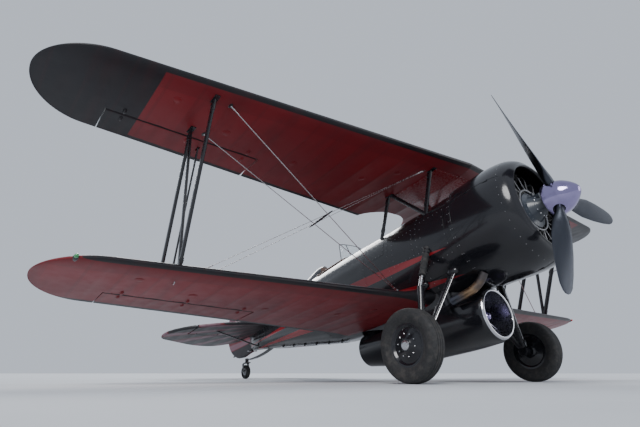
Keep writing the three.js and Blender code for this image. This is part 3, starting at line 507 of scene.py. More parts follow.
def doped_fabric(look, paint, across, pitch):
    """Taut doped cloth: a fine weave, stitched tapes on the ribs and a little dirt along the chord."""
    from_rib = look.math("PINGPONG", across, pitch / 2)
    along_rib = look.math("PINGPONG", look.axes()[0], 0.03)
    tape = look.ramp(from_rib, TAPE_WIDTH / 2 - 0.001, TAPE_WIDTH / 2, 1.0, 0.0)
    knot = look.ramp(from_rib, 0.002, 0.004, 1.0, 0.0) * look.ramp(along_rib, 0.004, 0.007, 1.0, 0.0)
    streaks = look.ramp(look.noise(3.0, 6.0, (0.35, 2.0, 1.0)), 0.45, 0.8, 0.0, 0.5)
    dirt = look.math("MAXIMUM", streaks, tape * 0.22)
    look.set(Base_Color=look.blend(dirt * 0.8, paint, CLOTH_DIRT), Roughness=look.uneven(9.0, 0.42, 0.49))
    look.set(Coat_Weight=0.08, Coat_Roughness=0.25, Specular_IOR_Level=0.36)
    return look.bump(look.noise(900.0, 1.0) * 0.12 + knot * 0.9, 0.0008, 0.6).material


def wing_fabric(name, wing, tip_from, flap=False):
    """Deep red with dark edges, black beyond tip_from. The sheeted nose is darker; a flap's nose in the hinge
    gap is black, as painted shade.
    """
    look = Look(name)
    behind_lead, ahead_of_trail, out = chord_places(look, wing)
    border = look.ramp(look.math("MINIMUM", behind_lead, ahead_of_trail), 0.045, 0.05, 1.0, 0.0)
    dark = look.math("MAXIMUM", border, look.ramp(out, tip_from, tip_from + 0.01))
    # painted shade: on an aileron, everything ahead of the hinge line, its round nose in the gap, is drawn
    # black
    if flap:
        share = behind_lead / (behind_lead + ahead_of_trail)
        nose = look.ramp(share, 0.998 - AILERON_SHARE, 1 - AILERON_SHARE, 1.0, 0.0)
        dark = look.math("MAXIMUM", dark, nose)
    red = look.blend(look.ramp(look.noise(0.8, 3.0), 0.35, 0.65), RED, SHADED_RED)
    red = look.blend(look.ramp(behind_lead, 0.235, 0.24, 0.35, 0.0), red, SUNK_RED)
    return doped_fabric(look, look.blend(dark, red, BLACK), out, WING_RIB_PITCH)


def tail_fabric(name, across):
    """Black cloth with muted rays, red at their edges, that widen from the root of the leading edge. On the
    tailplane a black line along the elevator's hinge is painted shade.
    """
    look = Look(name)
    x, y, z = look.axes()
    back = RAYS_FROM["x"] - x
    out = abs(y) if across == "y" else z - RAYS_FROM["z"]
    angle = look.math("ARCTAN2", out, back)
    wave = look.math("SINE", angle * 26.0) + look.math("SINE", angle * 61.0) * 0.25
    reach = look.math("SQRT", back * back + out * out)
    ray = look.ramp(wave, 0.3, 0.4) * look.ramp(reach, 0.2, 1.1)
    core = look.ramp(wave, 0.55, 0.75) * look.ramp(reach, 0.4, 1.3, 0.3, 0.8)
    paint = look.blend(ray, BLACK, look.blend(core, RAY_RED, RAY_SILVER))
    if across == "y":
        # painted shade: a thin black line along the elevator's hinge gap, inboard of the horns
        nose = look.ramp(abs(x - (ELEVATOR_HINGE_X + 0.004)), 0.005, 0.006, 1.0, 0.0)
        paint = look.blend(nose * look.ramp(out, HORN_Y, HORN_Y + 0.004, 1.0, 0.0), paint, BLACK)
    return doped_fabric(look, paint, abs(y if across == "y" else z), TAIL_RIB_PITCH)


def gloss(look, paint, roughness, dust=0.03):
    """The finish of a gloss paint: faint dust, a fine orange peel and an even shine."""
    film = look.ramp(look.noise(11.0, 9.0, (0.6, 1.0, 1.0)), 0.5, 0.9, 0.0, dust)
    look.set(Base_Color=look.blend(film, paint, DUST), Roughness=look.uneven(40.0, *roughness))
    look.set(Coat_Weight=0.25, Coat_Roughness=0.05, Specular_IOR_Level=0.4)
    return look.bump(look.noise(220.0, 2.0), 0.0003, 0.035).material


def gloss_paint(name, base=BLACK, dust=0.03, roughness=(0.14, 0.22)):
    return gloss(Look(name), base, roughness, dust)


def fuselage_paint():
    """Gloss black with two long red streaks on each side, pointed at both ends."""
    look = Look("fuselage_paint")
    x, y, z = look.axes()
    along = look.ramp(x, -6.35, -2.9)
    head = look.math("SQRT", look.ramp(x, -1.3, -2.9))
    middle = (x + 6.3) * -0.062 + -0.02
    width = (along * 0.055 + 0.01) * head
    gap = along * 0.1 + 0.045
    streaks = []
    for side in (-1, 1):
        off = abs(z - (middle + gap * side))
        streaks.append(look.ramp(width - off, 0.0, 0.003))
    red = look.math("MAXIMUM", *streaks) * look.ramp(abs(y), 0.05, 0.07)
    return gloss(look, look.blend(red, BLACK, RED), (0.14, 0.24))


def metal(name, base, roughness=(0.2, 0.4), brushed=(1.0, 1.0, 1.0), stain=(0.05, 0.045, 0.04),
          wear=0.4, grain=0.08):
    """Bare metal: smears of the stain's colour, a grain along the brushed way."""
    look = Look(name)
    smear = look.ramp(look.noise(14.0, 6.0), 0.5, 0.8, 0.0, wear)
    look.set(Base_Color=look.blend(smear, base, stain), Metallic=1.0)
    look.set(Roughness=look.uneven(60.0, *roughness, 3.0, brushed))
    return look.bump(look.noise(300.0, 2.0, brushed), 0.0003, grain).material


def grip_strip():
    """Anti-slip paint: coarse grit in black, scuffed grey where it is trodden."""
    look = Look("grip_strip")
    scuff = look.ramp(look.noise(7.0, 8.0), 0.45, 0.75, 0.0, 0.5)
    look.set(Base_Color=look.blend(scuff, (0.02, 0.02, 0.021), (0.075, 0.07, 0.065)), Roughness=0.85)
    return look.bump(look.noise(420.0, 3.0), 0.0015, 0.8).material


def webbing():
    """Woven harness strap: ribs across its length."""
    look = Look("webbing")
    worn = look.ramp(look.noise(25.0, 5.0), 0.4, 0.7, 0.0, 0.5)
    look.set(Base_Color=look.blend(worn, (0.16, 0.14, 0.1), (0.09, 0.08, 0.06)))
    look.set(Roughness=0.8, Sheen_Weight=0.3)
    return look.bump(look.math("SINE", look.noise(1400.0, 0.0) * 9.0), 0.0005, 0.4).material


def heated_steel():
    """An exhaust's steel: straw, brown and blue by how hot each stretch runs."""
    look = Look("exhaust_steel")
    heat = look.ramp(look.axes()[0], -1.6, -1.1) + look.noise(12.0, 5.0) * 0.4
    warm = look.blend(look.ramp(heat, 0.3, 0.7), (0.13, 0.14, 0.17), (0.3, 0.2, 0.12))
    look.set(Base_Color=look.blend(look.ramp(heat, 0.9, 1.2), warm, (0.09, 0.08, 0.08)), Metallic=1.0)
    look.set(Roughness=look.uneven(30.0, 0.3, 0.55))
    return look.bump(look.noise(180.0, 3.0), 0.0005, 0.2).material


def rubber():
    look = Look("tyre_rubber")
    dust = look.ramp(look.noise(18.0, 7.0), 0.45, 0.75, 0.0, 0.3)
    look.set(Base_Color=look.blend(dust, (0.016, 0.016, 0.017), (0.09, 0.08, 0.07)))
    look.set(Roughness=look.uneven(50.0, 0.7, 0.9))
    return look.bump(look.noise(400.0, 3.0), 0.0008, 0.35).material


def leather():
    look = Look("leather")
    cells = look.node("ShaderNodeTexVoronoi", {"Vector": look.place, "Scale": 260.0})
    worn = look.ramp(look.noise(9.0, 6.0), 0.45, 0.75, 0.0, 0.7)
    look.set(Base_Color=look.blend(worn, (0.055, 0.024, 0.014), (0.12, 0.06, 0.035)))
    look.set(Roughness=look.uneven(30.0, 0.42, 0.62), Sheen_Weight=0.1)
    return look.bump(cells.outputs["Distance"], 0.0012, 0.35).material


def clear_glass():
    look = Look("clear_glass")
    haze = look.ramp(look.noise(20.0, 6.0), 0.4, 0.8, 0.02, 0.09)
    look.set(Base_Color=(0.93, 0.97, 0.98, 1.0), Transmission_Weight=0.95, IOR=1.3, Roughness=haze)
    return look.material


def lamp_glass(name, tint):
    look = Look(name)
    look.set(Base_Color=look.blend(look.uneven(80.0, 0.0, 1.0), tint, tuple(0.7 * c for c in tint)))
    look.set(Roughness=0.08, Transmission_Weight=0.5, Coat_Weight=1.0)
    return look.material


SPINNER_STAIN = (0.14, 0.12, 0.2)
LINER_STAIN = (0.2, 0.19, 0.23)
PAINTS = {
    "black": gloss_paint("gloss_black"),
    "strut": gloss_paint("strut_black", BLACK, 0.08, (0.2, 0.32)),
    "fuselage": fuselage_paint(),
    "upper": wing_fabric("upper_wing_fabric", UPPER, 3.66),
    "lower": wing_fabric("lower_wing_fabric", LOWER, 9.0),
    "upper_flap": wing_fabric("upper_aileron_fabric", UPPER, 3.66, True),
    "lower_flap": wing_fabric("lower_aileron_fabric", LOWER, 9.0, True),
    "tail": tail_fabric("tailplane_fabric", "y"),
    "fin": tail_fabric("fin_fabric", "z"),
    "spinner": metal("spinner_metal", (0.3, 0.26, 0.45), (0.07, 0.14), stain=SPINNER_STAIN, wear=0.3),
    "blade": metal("blade_metal", (0.05, 0.055, 0.068), (0.3, 0.4), wear=0.2, grain=0.03),
    "spring": metal("spring_steel", (0.13, 0.13, 0.135), (0.32, 0.45), wear=0.25),
    "steel": metal("bright_steel", (0.5, 0.5, 0.51), (0.18, 0.3), wear=0.15),
    "wire": metal("wire_steel", (0.45, 0.45, 0.46), (0.24, 0.3), wear=0.1, grain=0.0),
    "dull_steel": metal("dull_steel", (0.28, 0.28, 0.29), (0.3, 0.5)),
    "cylinder": metal("cylinder_metal", (0.2, 0.2, 0.205), (0.32, 0.5), wear=0.7),
    "crankcase": gloss_paint("crankcase_paint", (0.04, 0.048, 0.062), 0.15, (0.3, 0.42)),
    "lip": metal("polished_lip", (0.62, 0.62, 0.65), (0.07, 0.18), (1.0, 6.0, 6.0), wear=0.2),
    "liner": metal("liner_metal", (0.42, 0.42, 0.47), (0.24, 0.32), stain=LINER_STAIN, wear=0.2, grain=0.01),
    "duct": metal("duct_metal", (0.12, 0.12, 0.13), (0.4, 0.6)),
    "exhaust": heated_steel(),
    "grip": grip_strip(),
    "webbing": webbing(),
    "red_metal": gloss_paint("red_metal", RED, 0.06, (0.22, 0.34)),
    "rubber": rubber(),
    "leather": leather(),
    "glass": clear_glass(),
    "cockpit": gloss_paint("cockpit_paint", (0.05, 0.06, 0.055), 0.25, (0.4, 0.55)),
    "panel": gloss_paint("panel_paint", (0.018, 0.018, 0.02), 0.1, (0.4, 0.5)),
    "dial": gloss_paint("dial_face", (0.35, 0.34, 0.3), 0.05, (0.3, 0.4)),
    "red_lamp": lamp_glass("red_lamp", (0.7, 0.02, 0.02)),
    "green_lamp": lamp_glass("green_lamp", (0.02, 0.5, 0.12)),
    "white_lamp": lamp_glass("white_lamp", (0.8, 0.8, 0.78)),
}

# The paints of each material slot; a few pieces name another slot themselves.
SLOT_PAINTS = {
    "black_paint": ("black", "fuselage", "fin"),
    "strut_paint": ("strut", "grip"),
    "red_fabric": ("upper", "lower", "upper_flap", "lower_flap", "red_metal"),
    "tail_fabric": ("tail",),
    "bare_steel": ("steel", "dull_steel", "spring", "lip", "liner", "exhaust"),
    "spinner_polish": ("spinner",),
    "wire_steel": ("wire",),
    "dark_metal": ("blade", "cylinder", "crankcase", "duct", "cockpit", "panel", "dial"),
    "tyre_rubber": ("rubber",),
    "hide": ("leather", "webbing"),
    "clear": ("glass", "red_lamp", "green_lamp", "white_lamp"),
}
SLOTS = {paint: slot for slot, paints in SLOT_PAINTS.items() for paint in paints}

SIDES = {"left": 1, "right": -1}


def on_side(shape, side):
    return shape if side > 0 else shape.mirrored()


def pair(name, shape, paint, body="airframe", replaces=(), **settings):
    """A piece for the left and its mirror image for the right. {} in a name stands for the side."""
    for side, sign in SIDES.items():
        nodes = [node.format(side) for node in replaces]
        piece(name.format(side), on_side(shape, sign), paint, body.format(side), nodes, **settings)


# Covered surfaces: tapes stand proud on the ribs, and the cloth sags a little between them

TAPE_HEIGHT = 0.0006
TAPE_EASE = 0.005
WING_SAG = 0.0038


def rib_rows(start, end, pitch, sag):
    """Rows of (place, relief) across a covered surface from start to end."""
    half = TAPE_WIDTH / 2
    edges = [(-half - TAPE_EASE, 0.0), (-half, TAPE_HEIGHT), (half, TAPE_HEIGHT), (half + TAPE_EASE, 0.0)]
    bay = [(half + s * (pitch - TAPE_WIDTH), -sag * math.sin(math.pi * s) ** 2) for s in np.arange(1, 6) / 6]
    rows = []
    for number in range(math.floor(start / pitch), math.ceil(end / pitch) + 1):
        rows += [(number * pitch + offset, relief) for offset, relief in edges + bay]
    inside = [row for row in rows if start + 0.004 < row[0] < end - 0.004]
    return [(start, 0.0), *inside, (end, 0.0)]


# Wings


def wing_chord(y):
    return ROOT_CHORD - (LEADING_SWEEP + TRAILING_SWEEP) * y


def chord_point(wing, y, share):
    x = wing["lead_x"] - LEADING_SWEEP * y - share * wing_chord(y)
    return np.array([x, y, wing["z"] + y * math.tan(DIHEDRAL)])


def thickness_share(wing, y):
    return mix(ROOT_THICKNESS, TIP_THICKNESS, y / wing["semi_span"])


def half_thickness(s):
    return 5 * (0.2969 * np.sqrt(s) - 0.126 * s - 0.3516 * s**2 + 0.2843 * s**3 - 0.1015 * s**4)


def camber_line(s):
    s = np.asarray(s, float)
    front = CAMBER / CAMBER_PLACE**2 * (2 * CAMBER_PLACE * s - s * s)
    rear = CAMBER / (1 - CAMBER_PLACE) ** 2 * (1 - 2 * CAMBER_PLACE + 2 * CAMBER_PLACE * s - s * s)
    return np.where(s < CAMBER_PLACE, front, rear)


def surface(wing, y, share, side):
    """The point on a wing's upper (side 1) or lower (side -1) surface."""
    half = thickness_share(wing, y) * half_thickness(share) * wing_chord(y)
    lift = camber_line(share) * wing_chord(y) + side * half
    return chord_point(wing, y, share) + (0, 0, lift)


SECTION_SHARES = 0.5 * (1 + np.cos(np.linspace(0, np.pi, 31)))  # from the trailing edge to the nose
# The lower wing's fairing into the fuselage. Columns: y, chord factor, thickness factor.
ROOT_FAIRING = np.array([
    (0.24, 1.17, 1.75),
    (0.42, 1.12, 1.5),
    (0.52, 1.055, 1.22),
    (0.62, 1.015, 1.06),
    (0.72, 1.0, 1.0),
])
METAL_NOSE = 0.15  # share of the chord that is sheeted, so that the cloth sags behind it


def wing_section(wing, y, shrink=1.0, relief=0.0):
    """The closed section at y. shrink narrows it for the round tip; relief lifts the cloth."""
    s = SECTION_SHARES
    full = wing_chord(y)
    chord = full * shrink
    lead = chord_point(wing, y, 0)[0] - 0.46 * (full - chord)
    thick = thickness_share(wing, y) * mix(0.55, 1, shrink)
    half = np.maximum(thick * half_thickness(s) * chord, TRAILING_EDGE / 2)
    half = half + relief * ease(s, METAL_NOSE - 0.03, METAL_NOSE + 0.16) * (1 - ease(s, 0.9, 0.98))
    middle = chord_point(wing, y, 0)[2] + camber_line(s) * chord
    x = lead - s * chord
    ones = np.full_like(s, y)
    top = np.column_stack([x, ones, middle + half])
    under = np.column_stack([x, ones, middle - half])[::-1]
    ring = np.concatenate([top, under[1:]])
    if wing is LOWER and y < ROOT_FAIRING[-1, 0]:
        longer, thicker = straight_rows(ROOT_FAIRING, y)
        nose = chord_point(wing, y, 0)
        ahead = 0.35 * (longer - 1) * full
        ring[:, 0] = nose[0] + ahead + (ring[:, 0] - nose[0]) * longer
        ring[:, 2] = nose[2] + (ring[:, 2] - nose[2]) * thicker
    return ring


def whole_wing(wing):
    tip_start = wing["semi_span"] - TIP_LENGTH
    rows = rib_rows(wing["root"], tip_start, WING_RIB_PITCH, WING_SAG)
    rings = [wing_section(wing, y, 1, relief) for y, relief in rows]
    for turn in np.radians(np.linspace(4, 88, 22)):
        rings.append(wing_section(wing, tip_start + math.sin(turn) * TIP_LENGTH, math.cos(turn)))
    return loft(rings)


def aileron_hinge(wing):
    """The hinge line's two ends, and the aileron's nose radius at a place y."""
    share = 1 - AILERON_SHARE

    def at(y):
        return chord_point(wing, y, share) + (0, 0, camber_line(share) * wing_chord(y))

    def radius(y):
        return 0.94 * thickness_share(wing, y) * half_thickness(share) * wing_chord(y)

    return at, radius


COVE_LIP = 0.024  # how far ahead of the hinge the wing's skin ends, over the aileron's nose


def aileron_pocket(wing):
    """The tools that hollow the wing round an aileron's nose, and clear it away behind."""
    at, radius = aileron_hinge(wing)
    rings = []
    for y in wing["aileron"]:
        x, _, z = at(y)
        front, back, low, high = x + COVE_LIP, x - 0.9, z - 0.2, z + 0.2
        rings.append(np.array([(front, y, low), (front, y, high), (back, y, high), (back, y, low)]))
    cove = tube([at(y) for y in wing["aileron"]], [radius(y) + NOSE_GAP for y in wing["aileron"]], 64)
    return [loft(rings), cove]


def whole_aileron(wing):
    """Round nose on the hinge line, then the wing's own section back to the trailing edge."""
    share = 1 - AILERON_SHARE
    at, radius = aileron_hinge(wing)
    s = share + AILERON_SHARE * 0.5 * (1 + np.cos(np.linspace(0, np.pi, 14)))
    turn = np.radians(np.linspace(76, -76, 17))
    start, end = wing["aileron"][0] + AILERON_GAP, wing["aileron"][1] - AILERON_END_GAP
    rings = []
    for y, relief in rib_rows(start, end, WING_RIB_PITCH / 2, WING_SAG / 2):
        chord = wing_chord(y)
        half = np.maximum(thickness_share(wing, y) * half_thickness(s) * chord, TRAILING_EDGE / 2)
        half = half + relief * ease(s, 0.74, 0.78) * (1 - ease(s, 0.95, 0.985))
        middle = chord_point(wing, y, 0)[2] + camber_line(s) * chord
        x = chord_point(wing, y, 0)[0] - s * chord
        ones = np.full_like(s, y)
        top = np.column_stack([x, ones, middle + half])
        under = np.column_stack([x, ones, middle - half])[::-1]
        centre = at(y)
        nose = centre + radius(y) * np.column_stack([np.cos(turn), 0 * turn, np.sin(turn)])
        rings.append(np.concatenate([top, nose, under]))
    return loft(rings)


def link_pin(wing):
    return aileron_hinge(wing)[0](LINK_Y) + (-LINK_ARM, 0, 0)


PAST_SKIN = 0.2


def link_slot(wing, leaves):
    """The tools for the slot that the rod leaves an aileron by, downward (-1) or upward (1)."""
    back, step, lean, width, depth, shelf = LINK_SLOT.values()
    tools = []
    for start, end, bottom in ((-back, step, depth), (step - 0.001, lean, shelf)):
        near = (leaves * start, -width / 2, -leaves * bottom)
        far = (leaves * end, width / 2, leaves * PAST_SKIN)
        tools.append(box(link_pin(wing) + np.minimum(near, far), link_pin(wing) + np.maximum(near, far)))
    return tools


def make_wings():
    opening = revolve([(-2, CUTOUT["radius"]), (2, CUTOUT["radius"])], 96, axis="Z")
    opening = opening.shifted((CUTOUT["x"], 0, 1))
    for level, wing in WINGS.items():
        tools = aileron_pocket(wing) + ([opening] if wing is UPPER else [])
        shape = cut(whole_wing(wing), *tools)
        pair(f"{level}_wing_cover_{{}}", shape, level, replaces=[f"{level}_wing_{{}}"])
        flap = cut(whole_aileron(wing), *link_slot(wing, -1 if wing is UPPER else 1))
        node = f"aileron_{level}_{{}}"
        pair(f"aileron_{level}_cover_{{}}", flap, f"{level}_flap", node, [node])


def on_skin(shape, wing, y, share, side, sunk=0.0):
    """A shape drawn on z = 0, with x forward, set on a wing's upper (1) or lower (-1) skin."""
    fore = surface(wing, y, share - 0.01, side) - surface(wing, y, share + 0.01, side)
    out = surface(wing, y + 0.01, share, side) - surface(wing, y - 0.01, share, side)
    up = side * np.cross(fore, out)
    axes = [v / np.linalg.norm(v) for v in (fore, np.cross(up, fore), up)]
    matrix = np.eye(4)
    matrix[:3, :3] = np.column_stack(axes)
    matrix[:3, 3] = surface(wing, y, share, side) - sunk * axes[2]
    return shape.moved(matrix)


def skin_sheet(wing, side, ys, shares, lift):
    """A thin plate on a wing's skin; its outside stands lift above the ribs."""
    rings = []
    for y in np.linspace(*ys, 10):
        line = np.array([surface(wing, y, share, side) for share in np.linspace(*shares, 24)])
        rings.append(np.concatenate([line + (0, 0, side * lift), line[::-1] - (0, 0, side * 0.006)]))
    return loft(rings)


# Inspection covers under each wing, between its ribs. Columns: y, share of the chord.
COVERS = [(0.75, 0.3), (1.05, 0.5), (1.95, 0.6), (2.85, 0.5), (3.45, 0.3)]
# Turned fittings. Columns: height above the skin, radius.
COVER_PROFILE = [
    (-0.004, 0.001), (-0.004, 0.046), (0.001, 0.046), (0.002, 0.043), (0.001, 0.04), (0.0016, 0.038),
    (0.003, 0.001),
]
GROMMET_PROFILE = [
    (-0.004, 0.001), (-0.004, 0.009), (0.001, 0.009), (0.0018, 0.0065), (0.0004, 0.0035), (0.0003, 0.001),
]
CAP_PROFILE = [(0, 0.045), (0.005, 0.044), (0.006, 0.032), (0.02, 0.031), (0.024, 0.024), (0.024, 0.002)]
HINGE_SHARES = (0.1, 0.5, 0.9)  # along the aileron
WALKWAY = {"ys": (0.74, 1.04), "shares": (0.16, 0.985)}


def wing_trim(wing):
    """Covers, drain grommets, hinge blisters, and the aileron's own halves of them."""
    cover = revolve(COVER_PROFILE, 32, axis="Z")
    grommet = revolve(GROMMET_PROFILE, 12, axis="Z")
    covers = [on_skin(cover, wing, y, share, -1, 0.0025) for y, share in COVERS]
    first, last = wing["aileron"]
    for number in range(3, 13):
        y = number * WING_RIB_PITCH - 0.04
        share = 1 - AILERON_SHARE - 0.03 if first - 0.05 < y < last + 0.05 else 0.965
        covers.append(on_skin(grommet, wing, y, share, -1, 0.0008))
    blister = pod((0, 0, 0), (0.04, 0.016, 0.014))
    hinge = 1 - AILERON_SHARE
    ys = [mix(first, last, t) for t in HINGE_SHARES]
    fixed = [on_skin(blister, wing, y, hinge - 0.058, -1) for y in ys]
    moving = [on_skin(blister, wing, y, hinge + 0.056, -1) for y in ys]
    return total(covers + fixed), total(moving)


def tip_edge(wing, degrees):
    """A point on the leading edge of a wing's round tip."""
    turn = math.radians(degrees)
    y = wing["semi_span"] - TIP_LENGTH + math.sin(turn) * TIP_LENGTH
    return wing_section(wing, y, math.cos(turn))[len(SECTION_SHARES) - 1]


def make_wing_details():
    for level, wing in WINGS.items():
        fixed, moving = wing_trim(wing)
        pair(f"{level}_wing_covers_{{}}", fixed, level)
        pair(f"aileron_{level}_hinges_{{}}", moving, level, f"aileron_{level}_{{}}")
    walkway = skin_sheet(LOWER, 1, WALKWAY["ys"], WALKWAY["shares"], 0.0015)
    pair("walkway_{}", walkway, "grip")
    tank = [skin_sheet(UPPER, side, (0.004, 0.395), (0.12, 0.6), 0.0012) for side in (-1, 1)]
    pair("tank_cover_{}", total(tank), "red_metal")
    screws = []
    for side in (-1, 1):
        edge = [(y, share) for y in np.linspace(0.03, 0.38, 6) for share in (0.13, 0.59)]
        edge += [(0.385, share) for share in np.linspace(0.17, 0.55, 7)]
        screws += [stud(surface(UPPER, y, share, side) + (0, 0, side * 0.001)) for y, share in edge]
    pair("tank_cover_screws_{}", total(screws), "steel")
    cap = revolve(CAP_PROFILE, 32, axis="Z") + box((-0.03, -0.005, 0.022), (0.03, 0.005, 0.032))
    piece("fuel_cap", on_skin(cap, UPPER, 0.2, 0.33, 1), "steel", bevel=0.001)
    turns = np.linspace(0.2, np.pi - 0.2, 14)
    ring = tube([(0.024 * math.cos(t), 0, -0.024 * math.sin(t)) for t in turns], 0.0045, 10)
    ring = ring.turned(math.pi, "X")
    pair("tie_down_ring_{}", on_skin(ring, LOWER, 3.17, 0.24, -1), "steel")
    lamp_place = tip_edge(LOWER, 30)
    holder = pod(lamp_place - (0.03, 0, 0), (0.06, 0.026, 0.024))
    pair("wing_lamp_holder_{}", holder, "strut")
    for side, paint in (("left", "red_lamp"), ("right", "green_lamp")):
        lamp = on_side(pod(lamp_place + (0.016, 0.004, 0), (0.026, 0.019, 0.018)), SIDES[side])
        piece(f"wing_lamp_{side}", lamp, paint)


# Tail surfaces


def bezier(a, b, c, d, steps=16):
    t = np.linspace(0, 1, steps + 1)[:-1, None]
    a, b, c, d = (np.asarray(p, float) for p in (a, b, c, d))
    return (1 - t) ** 3 * a + 3 * t * (1 - t) ** 2 * b + 3 * t * t * (1 - t) * c + t**3 * d


def bend(a, control, b, steps=8):
    """A quadratic curve from a to b."""
    a, control, b = (np.asarray(p, float) for p in (a, control, b))
    return bezier(a, a + 2 / 3 * (control - a), b + 2 / 3 * (control - b), b, steps)


def tailplane_outline():
    return np.concatenate([
        bezier((-5.425, 0.04), (-5.45, 0.48), (-5.54, 1.01), (-5.905, 1.45), 24),
        bezier((-5.905, 1.45), (-6.12, 1.68), (-6.33, 1.77), (-6.545, 1.725), 16),
        bend((-6.545, 1.725), (-6.62, 1.705), (-6.648, 1.64)),
        bezier((-6.88, 1.16), (-6.985, 0.93), (-7.01, 0.7), (-6.955, 0.54)),
        bezier((-6.955, 0.54), (-6.89, 0.4), (-6.7, 0.215), (-6.5, 0.175)),
        [(-6.5, 0.175), (-6.42, 0.04)],
    ])


def fin_outline():
    return np.concatenate([
        bezier((-5.6, 0.33), (-5.9, 0.62), (-6.15, 0.96), (-6.33, 1.12), 20),
        bezier((-6.33, 1.12), (-6.48, 1.25), (-6.76, 1.3), (-6.95, 1.2)),
        bezier((-6.95, 1.2), (-7.2, 1.06), (-7.33, 0.76), (-7.35, 0.42), 20),
        bezier((-7.35, 0.42), (-7.35, 0.18), (-7.16, -0.02), (-6.86, -0.07), 20),
        bend((-6.86, -0.07), (-6.6, -0.09), (RUDDER_HINGE_X, -0.04)),
        [(RUDDER_HINGE_X, -0.04), (-5.7, -0.04)],
    ])


def outline_distance(points, outline):
    """How far each flat point lies from a closed outline."""
    nearest = np.full(len(points), np.inf)
    for a, b in zip(outline, np.roll(outline, -1, axis=0)):
        along = b - a
        t = np.clip((points - a) @ along / (along @ along), 0, 1)
        nearest = np.minimum(nearest, np.linalg.norm(points - a - t[:, None] * along, axis=1))
    return nearest


TAIL_SAG = 0.003


def covered_frame(outline, across=44):
    """A flat frame with a round edge and cloth over its ribs, drawn in its own two axes, x and v."""
    low, high = outline[:, 1].min(), outline[:, 1].max()
    rows = rib_rows(low + 0.0005, high - 0.0005, TAIL_RIB_PITCH, TAIL_SAG)
    near_tip = high - 0.12 * (1 - np.sin(np.linspace(0, np.pi / 2, 12)))
    rows = [row for row in rows if row[0] < near_tip[0] - 0.003] + [(v, 0.0) for v in near_tip[:-1]]
    shares = 0.5 * (1 + np.cos(np.linspace(0, np.pi, across)))
    edge = TAIL_THICKNESS / 2
    rings = []
    for v, relief in rows:
        crossings = []
        for (x0, v0), (x1, v1) in zip(outline, np.roll(outline, -1, axis=0)):
            if (v0 <= v) != (v1 <= v):
                crossings.append(x0 + (x1 - x0) * (v - v0) / (v1 - v0))
        x = mix(min(crossings), max(crossings), shares)
        inside = outline_distance(np.column_stack([x, np.full_like(x, v)]), outline)
        half = edge * np.sqrt(1 - (1 - np.clip(inside / edge, 0, 1)) ** 2)
        half = half + relief * ease(inside, 0.02, 0.06)
        half[[0, -1]] = 0
        top = np.column_stack([x, np.full_like(x, v), half])
        under = np.column_stack([x, np.full_like(x, v), -half])[::-1]
        rings.append(np.concatenate([top, under[1:-1]]))
    return loft(rings)


NOSE_RADIUS = 0.46 * TAIL_THICKNESS
FAR = 9.0


def elevator_hinge(y):
    return ELEVATOR_HINGE_X, y, TAIL_Z


def hinge_cove(start, end):
    """The hollow that a tail surface's round nose turns in."""
    return bar(start, end, NOSE_RADIUS + NOSE_GAP, 64)


def make_tailplane():
    whole = covered_frame(tailplane_outline()).shifted((0, 0, TAIL_Z))
    root = 0.205
    fixed_part = box((ELEVATOR_HINGE_X + 0.01, -FAR, -FAR), (FAR, HORN_Y, FAR))
    cove = hinge_cove(elevator_hinge(-0.1), elevator_hinge(2.0))
    fixed = cut(combined(whole, fixed_part, "INTERSECT"), cove)
    behind = box((-FAR, root, -FAR), (ELEVATOR_HINGE_X, HORN_Y + HORN_GAP + 0.02, FAR))
    horn = box((-FAR, HORN_Y + HORN_GAP, -FAR + 0.01), (-0.01, FAR, FAR - 0.01))
    nose = bar(elevator_hinge(root), elevator_hinge(HORN_Y + HORN_GAP + 0.01), NOSE_RADIUS, 24)
    moving = combined(whole, combined(behind, horn, "UNION"), "INTERSECT")
    moving = combined(moving, nose, "UNION")
    pair("stabilizer_cover_{}", fixed, "tail", replaces=["stabilizer_{}"])
    pair("elevator_cover_{}", moving, "tail", "elevators", ["elevator_{}"])
    torque_tube = bar(elevator_hinge(-root), elevator_hinge(root), NOSE_RADIUS, 24)
    piece("torque_tube", torque_tube, "steel", "elevators", replaces=["elevator_tube"])


def make_fin():
    whole = covered_frame(fin_outline()).turned(math.radians(90), "X")
    ahead = box((RUDDER_HINGE_X + 0.01, -FAR, 0.2), (FAR, FAR, FAR))
    cove = hinge_cove((RUDDER_HINGE_X, 0, 0.1), (RUDDER_HINGE_X, 0, 1.6))
    fixed = cut(combined(whole, ahead, "INTERSECT"), cove)
    piece("fin_cover", fixed, "fin", replaces=["fin"])
    behind = box((-FAR, -FAR, -FAR), (RUDDER_HINGE_X, FAR, FAR))
    nose = bar((RUDDER_HINGE_X, 0, -0.04), (RUDDER_HINGE_X, 0, 1.14), NOSE_RADIUS, 24)
    moving = combined(combined(whole, behind, "INTERSECT"), nose, "UNION")
    piece("rudder_cover", moving, "fin", "rudder", replaces=["rudder"])


